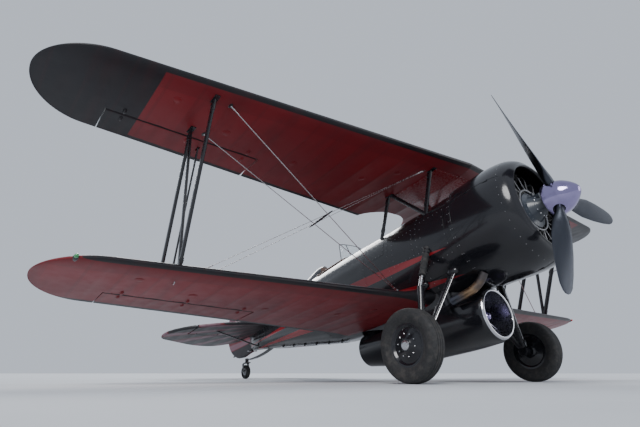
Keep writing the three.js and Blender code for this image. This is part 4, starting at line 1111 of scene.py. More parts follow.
def make_tail_details():
    horn_x, reach = RUDDER_HINGE_X - 0.006, 0.096
    horn = box((horn_x - 0.018, -reach, -0.034), (horn_x + 0.018, reach, -0.018))
    pins = [bar((horn_x, y, -0.04), (horn_x, y, -0.012), 0.006, 12) for y in (-0.084, 0.084)]
    piece("rudder_horn", total([horn, *pins]), "steel", "rudder", bevel=0.002)
    tail = (-7.15, 0, 0.035)
    piece("tail_lamp_holder", pod(tail, (0.05, 0.016, 0.016)), "strut", "rudder")
    lamp = pod((tail[0] - 0.034, 0, tail[2] + 0.004), (0.03, 0.013, 0.014))
    piece("tail_lamp", lamp, "white_lamp", "rudder")
    low = (-6.01, 0.99, TAIL_Z + 0.03)
    wires = [wire_ends(low, (x, 0.026, 0.86)) for x in (-6.11, -6.2)]
    lug = box(np.add(low, (-0.022, -0.01, -0.002)), np.add(low, (0.022, 0.01, 0.012)))
    pair("tail_wire_set_{}", total([*wires, lug]), "wire", replaces=["tail_wires_{}"])
    edge = TAIL_THICKNESS / 2
    x = ELEVATOR_HINGE_X + 0.062
    places = [(x, y, TAIL_Z + s * edge) for y in (0.42, 0.85, 1.25) for s in (-1, 1)]
    pair("elevator_hinges_{}", total(pod(place, (0.036, 0.01, 0.009)) for place in places), "strut")
    x = RUDDER_HINGE_X + 0.062
    places = [(x, s * edge, z) for z in (0.5, 0.78, 1.02) for s in (-1, 1)]
    piece("rudder_hinges", total(pod(place, (0.036, 0.009, 0.01)) for place in places), "strut")


# Fuselage. Columns: station x, half width, top, bottom, squareness of the section.

FUSELAGE_STATIONS = np.array([
    (FIREWALL_X, 0.585, 0.585, -0.595, 2.0),
    (-1.7, 0.572, 0.575, -0.615, 2.1),
    (-2.5, 0.548, 0.56, -0.62, 2.3),
    (-3.24, 0.505, 0.56, -0.605, 2.5),
    (-3.8, 0.458, 0.56, -0.555, 2.5),
    (-4.06, 0.425, 0.57, -0.505, 2.4),
    (-4.7, 0.345, 0.48, -0.37, 2.3),
    (-5.5, 0.25, 0.39, -0.205, 2.2),
    (-6.2, 0.15, 0.33, -0.07, 2.1),
    (-6.4, 0.075, 0.305, -0.035, 2.0),
])


FUSELAGE_SIDES = 132
STRINGERS = 22
STRINGER_SAG = 0.0042


def body_section(x, angles, grow=0.0):
    """Points of the fuselage's skin at station x. The angles turn from the left side up."""
    half_width, top, bottom, square = smooth_rows(FUSELAGE_STATIONS, x)
    sag = STRINGER_SAG * np.sin(0.5 * STRINGERS * angles) ** 2 * ease(-x, 2.66, 2.8) * ease(x, -6.35, -6.1)
    decked = ease(np.sin(angles), 0.5, 0.7) * ease(x, -4.4, -4.2)
    grow = grow - sag * (1 - decked)

    def bent(value):
        return np.sign(value) * np.abs(value) ** (2 / square)

    y = (half_width + grow) * bent(np.cos(angles))
    z = (top + bottom) / 2 + ((top - bottom) / 2 + grow) * bent(np.sin(angles))
    return np.column_stack([np.full(len(angles), x), y, z])


def fuselage_ring(x, grow=0.0):
    return body_section(x, 2 * np.pi * np.arange(FUSELAGE_SIDES) / FUSELAGE_SIDES, grow)


def skin_height(x, y, side=1):
    """The height of the fuselage's top (side 1) or belly (side -1) over a plan point."""
    half_width, top, bottom, square = smooth_rows(FUSELAGE_STATIONS, x)
    share = min(abs(y) / half_width, 1)
    return (top + bottom) / 2 + side * ((top - bottom) / 2 * (1 - share**square) ** (1 / square))


def cockpit_plan(grow=0.0):
    """The cockpit opening's outline in plan."""
    front, rear = COCKPIT["front"] + grow, COCKPIT["rear"] - grow
    wide = COCKPIT["half_width"] + grow
    corner = 0.17
    return np.concatenate([
        [(rear + corner, -wide)],
        bend((front - corner, -wide), (front, -wide), (front, 0), 10),
        bend((front, 0), (front, wide), (front - corner, wide), 10),
        [(front - corner, wide)],
        bend((rear + corner, wide), (rear, wide), (rear, 0), 10),
        bend((rear, 0), (rear, -wide), (rear + corner, -wide), 10),
    ])


# The fairing behind the pilot's head. Columns: x, half width, top.
HEADREST = np.array([
    (-4.035, 0.118, 0.742),
    (-4.12, 0.128, 0.756),
    (-4.4, 0.122, 0.7),
    (-4.9, 0.084, 0.56),
    (-5.42, 0.026, 0.42),
])


def headrest():
    angles = 2 * np.pi * np.arange(48) / 48
    rings = []
    for x in np.linspace(HEADREST[0, 0], HEADREST[-1, 0], 40):
        half_width, top = smooth_rows(HEADREST, x)
        up = np.sin(angles)
        rise = np.where(up > 0, (top - 0.4) * np.abs(up) ** 0.8, 0.16 * up)
        rings.append(np.column_stack([np.full(48, x), half_width * np.cos(angles), 0.4 + rise]))
    return loft(rings)


def make_fuselage():
    stations = np.concatenate([np.linspace(FIREWALL_X, -6.2, 100), np.linspace(-6.22, -6.4, 6)])
    rings = [fuselage_ring(x) for x in stations]
    plan = cockpit_plan()
    well = loft([level_ring(plan, z) for z in (COCKPIT["floor"], 0.9)])
    bore = bar(elevator_hinge(-0.4), elevator_hinge(0.4), 0.042, 24)
    shape = cut(combined(loft(rings), headrest(), "UNION"), well, bore)
    piece("fuselage_skin", shape, "fuselage", replaces=["fuselage"])


PANEL_BANDS = (-1.7, -2.2, -2.66)
# Doors and hatches in the fuselage's side. Columns: front, rear, low and high angle in degrees, sides.
PANELS = (
    (-1.27, -1.64, -26, 30, (1, -1)),
    (-1.76, -2.12, -8, 26, (1, -1)),
    (-2.26, -2.6, 12, 44, (1, -1)),
    (-4.32, -4.78, -4, 36, (1,)),
    (-5.62, -5.88, -24, 14, (1, -1)),
    (-3.85, -4.2, 256, 284, (1,)),
)
# A venturi horn's section, outside and then inside. Columns: distance behind its throat, radius.
VENTURI = [
    (-0.07, 0.026), (-0.062, 0.027), (-0.01, 0.011), (0.0, 0.0105), (0.05, 0.019), (0.056, 0.0185),
    (0.056, 0.0165), (0.0, 0.008), (-0.07, 0.0235),
]
BELLY_PIPE = {"front": -3.6, "rear": -5.32, "y": -0.115, "radius": 0.011}


def body_points(x, degrees, grow=0.0):
    return body_section(x, np.radians(np.atleast_1d(np.asarray(degrees, float))), grow)


def body_sheet(front, rear, low, high):
    """A thin plate on the fuselage's skin."""
    angles = np.linspace(low, high, 20)
    rings = []
    for x in np.linspace(front, rear, 8):
        rings.append(np.concatenate([body_points(x, angles, 0.002), body_points(x, angles[::-1], -0.006)]))
    return loft(rings)


def rim_places(front, rear, low, high, inset=0.014):
    """Where a plate's screws go, all round its edge."""
    lean = math.degrees(inset / 0.5)
    xs = (front - inset, rear + inset)
    angles = (low + lean, high - lean)
    places = [(x, a) for x in np.linspace(*xs, 6) for a in angles]
    places += [(x, a) for a in np.linspace(*angles, 6)[1:-1] for x in xs]
    return [body_points(x, a, 0.0018)[0] for x, a in places]


def make_fuselage_details():
    sheets, screws = [], []
    for front, rear, low, high, sides in PANELS:
        for side in sides:
            sheets.append(on_side(body_sheet(front, rear, low, high), side))
            screws += [on_side(stud(p), side) for p in rim_places(front, rear, low, high)]
    for x in PANEL_BANDS:
        edges = [(x - 0.014, -0.004), (x - 0.014, 0.0015), (x + 0.014, 0.0015), (x + 0.014, -0.004)]
        sheets.append(loft([fuselage_ring(at, grow) for at, grow in edges], closed=True))
        screws += [stud(p) for p in body_points(x, np.arange(0, 360, 7.5), 0.0012)]
    piece("fuselage_panels", total(sheets), "fuselage")
    piece("fuselage_screws", total(screws), "dull_steel")
    y, radius = BELLY_PIPE["y"], BELLY_PIPE["radius"]
    xs = np.linspace(BELLY_PIPE["front"], BELLY_PIPE["rear"], 24)
    path = [(x, y, skin_height(x, y, -1) - radius - 0.004) for x in xs]
    path = [(xs[0] + 0.03, y, path[0][2] + 0.04)] + path
    clips = []
    for x, _, z in path[3::4]:
        clips.append(box((x - 0.009, y - 0.02, z - radius - 0.002), (x + 0.009, y + 0.02, z + 0.03)))
    piece("belly_pipe", tube(path, radius, 16), "steel")
    piece("belly_pipe_clips", total(clips), "strut", bevel=0.002)
    at = body_points(-2.84, 24, 0.0)[0]
    out = at + (0, 0.05, 0.012)
    venturi = revolve([(-along, radius) for along, radius in VENTURI], 28, closed=True).shifted(out)
    piece("venturi_horn", venturi + bar(at - (0, 0.01, 0), out - (0, 0.008, 0), 0.007, 12), "steel")


# Nose


# The cowl's section, from its lip back outside, and forward again inside. Columns: x, radius.
COWL_OUTSIDE = [
    (COWL_FRONT, 0.5), (-0.45, 0.56), (-0.54, 0.606), (-0.7, 0.628), (-0.95, 0.624), (COWL_REAR, 0.612),
]
COWL_INSIDE = [
    (COWL_REAR, 0.596), (-0.95, 0.608), (-0.7, 0.612), (-0.56, 0.57), (-0.47, 0.5), (-0.438, 0.472),
]
COWL_LIP = [(-0.438, 0.472), (-0.414, 0.478), (-0.405, 0.49), (COWL_FRONT, 0.5)]
# A strap round the cowl's rear edge. Columns: x, lift above the skin.
COWL_BAND = [(-1.14, -0.004), (-1.14, 0.002), (-1.188, 0.002), (-1.188, -0.004)]
COWL_SEAMS = (62, -62, 180)  # degrees from the top
COWL_SCREWS = 40


def make_cowling():
    outer = curve_through(COWL_OUTSIDE, 8)
    inner = curve_through(COWL_INSIDE, 6)
    lip = curve_through(COWL_LIP, 3)[1:-1]
    piece("cowling_skin", revolve([*outer, *inner, *lip], 128, closed=True), "black", replaces=["cowling"])

    def skin(x):
        return straight_rows(outer[::-1], x)[0]

    band = revolve([(x, skin(x) + lift) for x, lift in COWL_BAND], 128, closed=True)
    line = [(x, 0, r) for x, r in outer if -1.18 < x < -0.5]
    seams, screws = [], []
    for degrees in COWL_SEAMS:
        seam = [tube(line, 0.0035, 8)]
        for x in (-0.66, -0.9, -1.1):
            seam.append(box((x - 0.03, -0.013, 0.6), (x + 0.03, 0.013, skin(x) + 0.006)))
        seams += [part.turned(math.radians(degrees), "X") for part in seam]
    turns = 2 * np.pi * (np.arange(COWL_SCREWS) + 0.5) / COWL_SCREWS
    for x in (-0.535, -1.152, -1.176):
        radius = skin(x) + 0.001
        screws += [stud((x, radius * math.sin(t), radius * math.cos(t)), 0.0048) for t in turns]
    piece("cowling_band", band + total(seams), "black", bevel=0.001)
    piece("cowling_screws", total(screws), "dull_steel")


CYLINDER_COUNT = 9
CYLINDER_X = -0.69


def finned_profile(rows, pitch, depth):
    """Lathe rows for a finned barrel. Rows are (start, end, root radius at start, root radius at end)."""
    profile = []
    for start, end, first, last in rows:
        for place in np.arange(start, end - pitch / 2, pitch):
            root = mix(first, last, (place - start) / (end - start))
            fin = 0.45 * pitch
            profile += [(place, root), (place + 0.1 * pitch, root + depth)]
            profile += [(place + fin, root + depth), (place + fin + 0.1 * pitch, root)]
    return profile


def engine_cylinder():
    barrel = finned_profile([(0.3, 0.415, 0.074, 0.074)], 0.0115, 0.02)
    head = finned_profile([(0.425, 0.53, 0.084, 0.078)], 0.0135, 0.027)
    profile = [(0.2, 0.074), (0.205, 0.095), (0.222, 0.095), (0.225, 0.074), *barrel, *head]
    profile += [(0.532, 0.08), (0.55, 0.06), (0.56, 0.03)]
    return revolve(profile, 40, axis="Z").shifted((CYLINDER_X, 0, 0))


def rocker_gear():
    """The two rocker boxes and pushrod covers of one cylinder."""
    parts = []
    for side in (-1, 1):
        y = side * 0.058
        parts.append(box((-0.735, y - 0.03, 0.505), (-0.64, y + 0.03, 0.557)))
        parts.append(dome((-0.69, y, 0.557), 0.022, 0.008))
        parts.append(tube([(-0.545, side * 0.028, 0.19), (-0.66, y, 0.513)], 0.011, 12))
        parts.append(revolve([(0, 0.017), (0.03, 0.017)], 12, axis="Z").shifted((-0.655, y, 0.49)))
    return total(parts)


def intake_pipe():
    path = [(-0.87, 0.06, 0.27), (-0.83, 0.06, 0.36), (-0.78, 0.055, 0.45), (-0.74, 0.05, 0.5)]
    return tube(curve_through(path, 5), 0.026, 16)


def ignition():
    """Two plugs and their leads from the ring on the crankcase."""
    plug = revolve([(0, 0.009), (0.03, 0.009), (0.032, 0.006), (0.06, 0.006)], 10)
    parts = []
    for side in (-1, 1):
        y = side * 0.04
        parts.append(plug.shifted((-0.61, y * 2.0, 0.455)))
        path = [(-0.52, y * 0.4, 0.236), (-0.525, y, 0.3), (-0.53, y * 1.6, 0.39), (-0.555, y * 2.0, 0.455)]
        parts.append(tube(curve_through(path, 5), 0.0042, 8))
    return total(parts)


def turned_copies(shape, count, axis="X"):
    return [shape.turned(2 * math.pi * i / count, axis) for i in range(count)]


def around(shape, count):
    """Copies of a shape about the propeller's axis, as one."""
    return total(turned_copies(shape, count))


# Columns: x, radius
CRANKCASE_PROFILE = [
    (-1.2, 0.33), (-0.9, 0.33), (-0.83, 0.28), (-0.8, 0.235), (-0.58, 0.235), (-0.56, 0.205), (-0.52, 0.2),
    (-0.5, 0.15), (-0.42, 0.095), (-0.36, 0.075),
]


def make_engine():
    case = revolve(CRANKCASE_PROFILE, 72)
    turns = np.linspace(0, 2 * np.pi, 73)
    ring = tube([(-0.52, 0.236 * math.cos(t), 0.236 * math.sin(t)) for t in turns], 0.011, 10)
    nuts = around(dome((-0.52, 0, 0.17), 0.011, 0.012, "X"), 18)
    nuts = nuts + around(dome((-0.44, 0, 0.108), 0.009, 0.012, "X"), 12)
    governor = [bar((-0.52, 0, 0.115), (-0.4, 0, 0.115), 0.034, 24)]
    governor.append(bar((-0.47, 0, 0.1), (-0.47, 0, 0.178), 0.02, 20))
    sump = pod((-0.62, 0, -0.3), (0.075, 0.05, 0.12))
    baffle = box((-0.765, -0.085, 0.34), (-0.762, 0.085, 0.555)).turned(math.radians(20), "X")
    piece("engine_crankcase", total([case, *governor]), "crankcase", replaces=["radial_engine"])
    piece("engine_nuts", nuts, "steel")
    piece("engine_sump", sump, "cylinder")
    piece("engine_baffles", around(baffle, CYLINDER_COUNT), "strut", slot="black_paint")
    piece("engine_cylinders", around(engine_cylinder(), CYLINDER_COUNT), "cylinder")
    piece("engine_rockers", around(rocker_gear(), CYLINDER_COUNT), "black", slot="dark_metal", bevel=0.004)
    piece("engine_intake_pipes", around(intake_pipe(), CYLINDER_COUNT), "dull_steel")
    piece("engine_ignition", around(ignition(), CYLINDER_COUNT) + ring, "dull_steel")


# Blade sections. Columns: radius from the axis, chord, thickness, angle from the disc in degrees.
BLADE_SECTIONS = np.array([
    (0.07, 0.088, 0.088, 50),
    (0.23, 0.092, 0.084, 50),
    (0.36, 0.15, 0.044, 44),
    (0.56, 0.196, 0.027, 35),
    (0.8, 0.196, 0.019, 27),
    (1.03, 0.17, 0.014, 22),
    (1.18, 0.132, 0.01, 19),
    (1.245, 0.084, 0.008, 18),
    (PROP_RADIUS, 0.034, 0.006, 18),
])
BLADE_COUNT = 3


def propeller_blade():
    turn = 2 * np.pi * np.arange(36) / 36
    rings = []
    for radius in np.concatenate([np.linspace(0.07, 1.18, 44), np.linspace(1.2, PROP_RADIUS, 10)]):
        chord, thick, angle = straight_rows(BLADE_SECTIONS, radius)
        tilt = math.radians(angle)
        flat = ease(radius, 0.25, 0.5)  # the blade's working face is flatter than its back
        u = 0.5 * chord * np.cos(turn)
        v = 0.5 * thick * np.sin(turn) * np.where(np.sin(turn) < 0, 1.35, 1 - 0.45 * flat)
        x = PROP_X + u * math.sin(tilt) - v * math.cos(tilt)
        z = u * math.cos(tilt) + v * math.sin(tilt)
        rings.append(np.column_stack([x, np.full_like(x, radius), z]))
    return loft(rings)


# Spinner profile. Columns: share of its length from the tip, share of its radius.
SPINNER_PROFILE = [
    (0.0, 0.004), (0.03, 0.17), (0.1, 0.36), (0.25, 0.62), (0.45, 0.85), (0.7, 0.97), (1.0, 1.0),
]


def make_propeller():
    blades = around(propeller_blade(), BLADE_COUNT)
    cuff = bar((PROP_X, 0.1, 0), (PROP_X, 0.165, 0), 0.056, 24)
    blades = blades + around(cuff, BLADE_COUNT)
    piece("propeller_blades", blades, "blade", "propeller", replaces=["propeller"])
    hub = revolve([(-0.15, 0.1), (-0.145, 0.105), (-0.34, 0.105)], 48)
    piece("propeller_hub", hub, "dull_steel", "propeller", slot="dark_metal")
    outer = curve_through([(-s * SPINNER_LENGTH, r * SPINNER_RADIUS) for s, r in SPINNER_PROFILE], 8)
    hollow = -0.2 * SPINNER_LENGTH  # where the solid tip ends
    inner = [(x, max(r - 0.006, 0.002)) for x, r in outer[::-1] if x < hollow - 0.001]
    shell = revolve([*outer, *inner, (hollow, inner[-1][1]), (hollow, 0.002)], 128)
    hole = bar((PROP_X, 0.12, 0), (PROP_X, 0.26, 0), 0.06, 40)
    shell = cut(shell, *turned_copies(hole, BLADE_COUNT))
    piece("spinner_shell", shell, "spinner", "propeller", replaces=["spinner"])


def make_exhaust():
    path = [(-1.12, -0.3, -0.52), (-1.215, -0.318, -0.618), (-1.33, -0.35, -0.672), (-1.56, -0.372, -0.705)]
    points = curve_through(path, 10)
    outside = tube(points, 0.046, 32)
    hollow = tube(points[-12:], 0.042, 32).shifted((-0.004, 0, 0))
    piece("exhaust_pipe", cut(outside, hollow), "exhaust", replaces=["exhaust_stack"])


# Jet nacelle


# Sections of the nacelle's and the jet's pieces. Columns: distance behind the lip, radius.
NACELLE_OUTSIDE = [(0.02, 0.284), (0.09, 0.304), (0.36, 0.318), (0.8, 0.318), (1.25, 0.311), (1.7, 0.265)]
NACELLE_INSIDE = [(1.25, 0.246), (0.36, 0.246), (0.1, 0.25), (0.02, 0.256)]
NACELLE_LIP = [(0.021, 0.2555), (0.008, 0.248), (0.0, 0.258), (0.002, 0.268), (0.012, 0.279), (0.021, 0.2845)]
JET_CASING = [(0.38, 0.09), (0.38, 0.204), (1.24, 0.204), (1.24, 0.1), (1.5, 0.06), (1.63, 0.02)]
JET_BULLET = [(0.11, 0.004), (0.116, 0.02), (0.135, 0.04), (0.2, 0.074), (0.38, 0.092)]
JET_LINER = [(0.024, 0.2545), (0.1, 0.2485), (0.37, 0.2445)]
JET_NOZZLE = [(1.5, 0.232), (2.05, 0.2), (2.05, 0.1945), (1.5, 0.226)]
FAN_COUNT = 26


def behind_lip(rows):
    return [(NACELLE["lip_x"] - along, radius) for along, radius in rows]


def nacelle_turned(shape):
    """A lathe shape drawn on the thrust line, put on the nacelle's own axis, whose tail rises."""
    pivot = Vector((NACELLE["lip_x"], 0, 0))
    place = Matrix.Translation((NACELLE["lip_x"], 0, NACELLE["z"])) @ Matrix.Rotation(NACELLE_TILT, 4, "Y")
    return shape.moved(place @ Matrix.Translation(-pivot))


def nacelle_lathe(rows, sides, closed=False):
    return nacelle_turned(revolve(rows, sides, closed))


# The fairing between the nacelle and the belly. Columns: x, half width at the belly, half width below.
SADDLE = np.array([
    (-1.42, 0.06, 0.06),
    (-1.62, 0.25, 0.22),
    (-2.05, 0.33, 0.3),
    (-2.7, 0.32, 0.27),
    (-3.25, 0.19, 0.12),
    (-3.46, 0.06, 0.05),
])


def saddle():
    rings = []
    for x in np.linspace(SADDLE[0, 0], SADDLE[-1, 0], 40):
        above, below = smooth_rows(SADDLE, x)
        middle = NACELLE["z"] + (NACELLE["lip_x"] - x) * math.sin(NACELLE_TILT)
        low = min(middle + 0.04, -0.7)
        left = []
        for t in np.linspace(0, 1, 9):
            y = mix(above, below, t) - 0.02 * math.sin(math.pi * t)
            left.append((x, y, mix(-0.52, low, t)))
        right = [(x, -y, z) for _, y, z in reversed(left)]
        rings.append(np.array([*left, *right]))
    inside = nacelle_lathe([(-1.2, 0.3), (-3.6, 0.3)], 64)
    return cut(loft(rings), inside)


def make_nacelle():
    rear = NACELLE["exit_x"]
    outer = curve_through([*behind_lip(NACELLE_OUTSIDE), (rear, 0.213)], 8)
    inner = [(rear, 0.205), *behind_lip(NACELLE_INSIDE)]
    shell = nacelle_lathe([*outer, *inner], 112, closed=True)
    piece("nacelle_skin", shell, "black", replaces=["jet_nacelle"])
    piece("nacelle_saddle", saddle(), "black")
    lip = behind_lip(curve_through(NACELLE_LIP, 5))
    piece("nacelle_lip", nacelle_lathe(lip, 112, closed=True), "lip")


def make_jet_engine():
    front = NACELLE["lip_x"]
    piece("jet_casing", nacelle_lathe(behind_lip(JET_CASING), 64), "duct", replaces=["jet_engine"])
    bullet = curve_through(behind_lip(JET_BULLET), 6)
    piece("jet_bullet", nacelle_lathe(bullet, 48), "spinner", slot="bare_steel")
    piece("jet_fan", nacelle_turned(around(fan_blade(front - 0.33), FAN_COUNT)), "liner")
    inside = behind_lip(JET_LINER)
    liner = [*inside, *((x, r - 0.0025) for x, r in inside[::-1])]
    piece("jet_duct_liner", nacelle_lathe(liner, 112, closed=True), "liner")
    vane = box((front - 0.27, -0.005, 0.07), (front - 0.2, 0.005, 0.243))
    piece("jet_inlet_vanes", nacelle_turned(around(vane, 3)), "liner", bevel=0.003)
    piece("jet_nozzle_liner", nacelle_lathe(behind_lip(JET_NOZZLE), 96, closed=True), "exhaust")


def fan_blade(x):
    """One twisted, curved blade of the fan, from its root out."""
    rings = []
    for share in np.linspace(0, 1, 9):
        radius = mix(0.085, 0.241, share)
        tilt = math.radians(mix(28, 58, share))
        across = np.linspace(-0.5, 0.5, 7)
        chord = mix(0.046, 0.06, share)
        bow = 0.12 * chord * np.cos(np.pi * across)
        line = np.column_stack([across * chord, bow])
        turn = np.array([(math.cos(tilt), math.sin(tilt)), (-math.sin(tilt), math.cos(tilt))])
        upper = line @ turn
        lower = (line - (0, 0.0024)) @ turn
        flat = np.concatenate([upper, lower[::-1]])
        rings.append(np.column_stack([x + flat[:, 0], flat[:, 1], np.full(len(flat), radius)]))
    return loft(rings)


# Struts and wires


def n_strut(top_front, top_rear, low_front, low_rear, chord, thickness):
    front = strut(top_front, low_front, chord, thickness)
    rear = strut(top_rear, low_rear, chord, thickness)
    return total([front, rear, strut(top_rear, low_front, 0.8 * chord, 0.8 * thickness)])


WIRE = {"chord": 0.011, "thickness": 0.005}
CUFF_LENGTH = 0.055
SPARS = (FRONT_SPAR, REAR_SPAR)


def buried(inside, outside, wing, side):
    """How far a wire runs within a wing, from its end to the upper (1) or lower (-1) skin."""
    for share in np.linspace(0, 0.3, 301):
        x, y, z = mix(inside, outside, share)
        chord_share = (wing["lead_x"] - LEADING_SWEEP * y - x) / wing_chord(y)
        if side * (z - surface(wing, y, chord_share, side)[2]) > 0:
            return share * np.linalg.norm(np.subtract(outside, inside))
    return 0.0


def wire_patch(inside, outside, wing, side):
    """The oval patch on the skin that a wire leaves by."""
    depth = buried(inside, outside, wing, side)
    x, y, _ = part_of(inside, outside, 0, depth)[1]
    share = (wing["lead_x"] - LEADING_SWEEP * y - x) / wing_chord(y)
    return on_skin(pod((0, 0, 0), (0.034, 0.02, 0.0035)), wing, y, share, side)


def wire_ends(start, end, start_depth=0.0, end_depth=0.0):
    """A streamlined wire. As deep as given from each end, it has a threaded end in a fork."""
    start, end = np.asarray(start, float), np.asarray(end, float)
    along = (end - start) / np.linalg.norm(end - start)
    parts = [strut(start, end, WIRE["chord"], WIRE["thickness"], 12)]
    for place, way in ((start + along * start_depth, 1), (end - along * end_depth, -1)):
        first = place + way * along * 0.05
        parts.append(tube([first, first + way * along * 0.06], 0.0055, 10))
        parts.append(tube([place, first + way * along * 0.004], 0.009, 10))
    return total(parts)


def fitting(place, size=(0.026, 0.007, 0.009)):
    return box(np.subtract(place, size), np.add(place, size))


def cuffs(start, end, chord, thickness, first, last):
    """Metal sleeves round a strut's two ends, each with a bolt through it."""
    parts = []
    bolt = np.array((0, 0.66 * thickness + 0.005, 0))
    for near, far in ((first, first + CUFF_LENGTH), (-last - CUFF_LENGTH, -last)):
        stretch = part_of(start, end, near, far)
        parts.append(strut(*stretch, 1.12 * chord, 1.3 * thickness))
        middle = mix(*stretch, 0.5)
        parts.append(bar(middle - bolt, middle + bolt, 0.006, 10))
    return parts


def strut_plate(wing, y, share, side):
    """The plate on a wing's skin that a strut stands on."""
    parts = [box((-0.06, -0.026, -0.004), (0.06, 0.026, 0.0045))]
    parts += [dome((x, s * 0.016, 0.0045), 0.006, 0.005) for x in (-0.05, 0.05) for s in (-1, 1)]
    return on_skin(total(parts), wing, y, share, side)


def make_struts():
    foot = CABANE_FOOT
    feet = [(x, foot["y"], foot["z"]) for x in (foot["front_x"], foot["rear_x"])]
    low = [chord_point(LOWER, STRUT_Y, share) for share in SPARS]
    # Columns: name, y of the tops, feet, chord, thickness, where the sleeves at the top and the foot begin
    for name, y, low, chord, thickness, first, last in (
        ("interplane", STRUT_Y, low, 0.07, 0.03, 0.075, 0.1),
        ("cabane", CABANE_TOP_Y, feet, 0.062, 0.028, 0.085, 0.095),
    ):
        top = [chord_point(UPPER, y, share) for share in SPARS]
        shape = n_strut(*top, *low, chord, thickness)
        pair(f"{name}_n_{{}}", shape, "strut", replaces=[f"{name}_strut_{{}}"])
        metal_parts = [strut_plate(UPPER, y, share, -1) for share in SPARS]
        metal_parts += [part for a, b in zip(top, low) for part in cuffs(a, b, chord, thickness, first, last)]
        if name == "interplane":
            metal_parts += [strut_plate(LOWER, y, share, 1) for share in SPARS]
        pair(f"{name}_fittings_{{}}", total(metal_parts), "black", slot="strut_paint", bevel=0.001)


def nearest_points(a, b, c, d):
    """The points at which two lines, through a and b and through c and d, pass closest."""
    u, v, w = b - a, d - c, a - c
    uu, uv, vv, uw, vw = u @ u, u @ v, v @ v, u @ w, v @ w
    bottom = uu * vv - uv * uv
    return a + u * (uv * vw - vv * uw) / bottom, c + v * (uu * vw - uv * uw) / bottom


def make_wires():
    low = chord_point(LOWER, 0.62, FRONT_SPAR) + (0.06, 0, 0.105)
    high_ends = [chord_point(UPPER, STRUT_Y - 0.09, share) for share in SPARS]
    shape = total([*(wire_ends(low, end, 0, buried(end, low, UPPER, -1)) for end in high_ends), fitting(low)])
    pair("flying_wire_set_{}", shape, "wire", replaces=["flying_wires_{}"])
    top = chord_point(UPPER, CABANE_TOP_Y + 0.08, FRONT_SPAR) + (-0.06, 0, -0.055)
    low_ends = [chord_point(LOWER, STRUT_Y - 0.09, share) + (-0.06, 0, 0) for share in SPARS]
    shape = total([*(wire_ends(top, end, 0, buried(end, top, LOWER, 1)) for end in low_ends), fitting(top)])
    pair("landing_wire_set_{}", shape, "wire", replaces=["landing_wires_{}"])
    patches = [wire_patch(end, low, UPPER, -1) for end in high_ends]
    patches += [wire_patch(end, top, LOWER, 1) for end in low_ends]
    pair("wire_patches_{}", total(patches), "strut")
    crossings = [mix(*nearest_points(low, a, top, b), 0.5) for a, b in zip(high_ends, low_ends)]
    ahead = (crossings[0] - crossings[1]) / np.linalg.norm(crossings[0] - crossings[1])
    ends = crossings[1] - 0.09 * ahead, crossings[0] + 0.09 * ahead
    shares = np.linspace(0, 1, 15)
    rod = tube([mix(*ends, t) for t in shares], 0.004 + 0.008 * np.sin(np.pi * shares) ** 0.6, 12)
    pair("wire_spacer_{}", rod, "strut")


def make_pitot():
    top, foot = chord_point(UPPER, STRUT_Y, FRONT_SPAR), chord_point(LOWER, STRUT_Y, FRONT_SPAR)
    root = mix(top, foot, 0.52)
    arm = bar(root, root + (0.17, 0, 0), 0.006, 12)
    cross = bar(root + (0.165, 0, -0.028), root + (0.165, 0, 0.028), 0.006, 12)
    heads = []
    for z, radius in ((-0.024, 0.0055), (0.024, 0.007)):
        heads.append(bar(root + (0.16, 0, z), root + (0.3, 0, z), radius, 12))
    piece("pitot_head", total([arm, cross, *heads]), "steel", bevel=0.001)
    along = (foot - top) / np.linalg.norm(foot - top)
    clamp = strut(root - 0.03 * along, root + 0.03 * along, 0.082, 0.04)
    piece("pitot_clamp", clamp, "black", slot="strut_paint")


def make_aileron_links():
    top, foot = link_pin(UPPER), link_pin(LOWER)
    along = (foot - top) / np.linalg.norm(foot - top)
    shape = tube([top + along * 0.006, foot - along * 0.006], 0.008, 12)
    shape = shape + strut(top + along * 0.098, foot - along * 0.098, 0.038, 0.018)
    node = "aileron_link_{}"
    pair("aileron_rod_{}", shape, "strut", node, [node])


# Landing gear

APEX = MAIN_AXLE - (0, 0.165, 0)
# The two struts of a gear leg's V. Columns: end inside the fuselage, chord, thickness.
GEAR_LEGS = [((-1.39, 0.405, -0.375), 0.074, 0.034), ((-1.85, 0.41, -0.385), 0.066, 0.03)]
SHOCK_SLEEVE = (APEX, (-1.6, 0.8, -0.56))
SHOCK_ROD = ((-1.604, 0.812, -0.586), (-1.575, 0.545, -0.06))


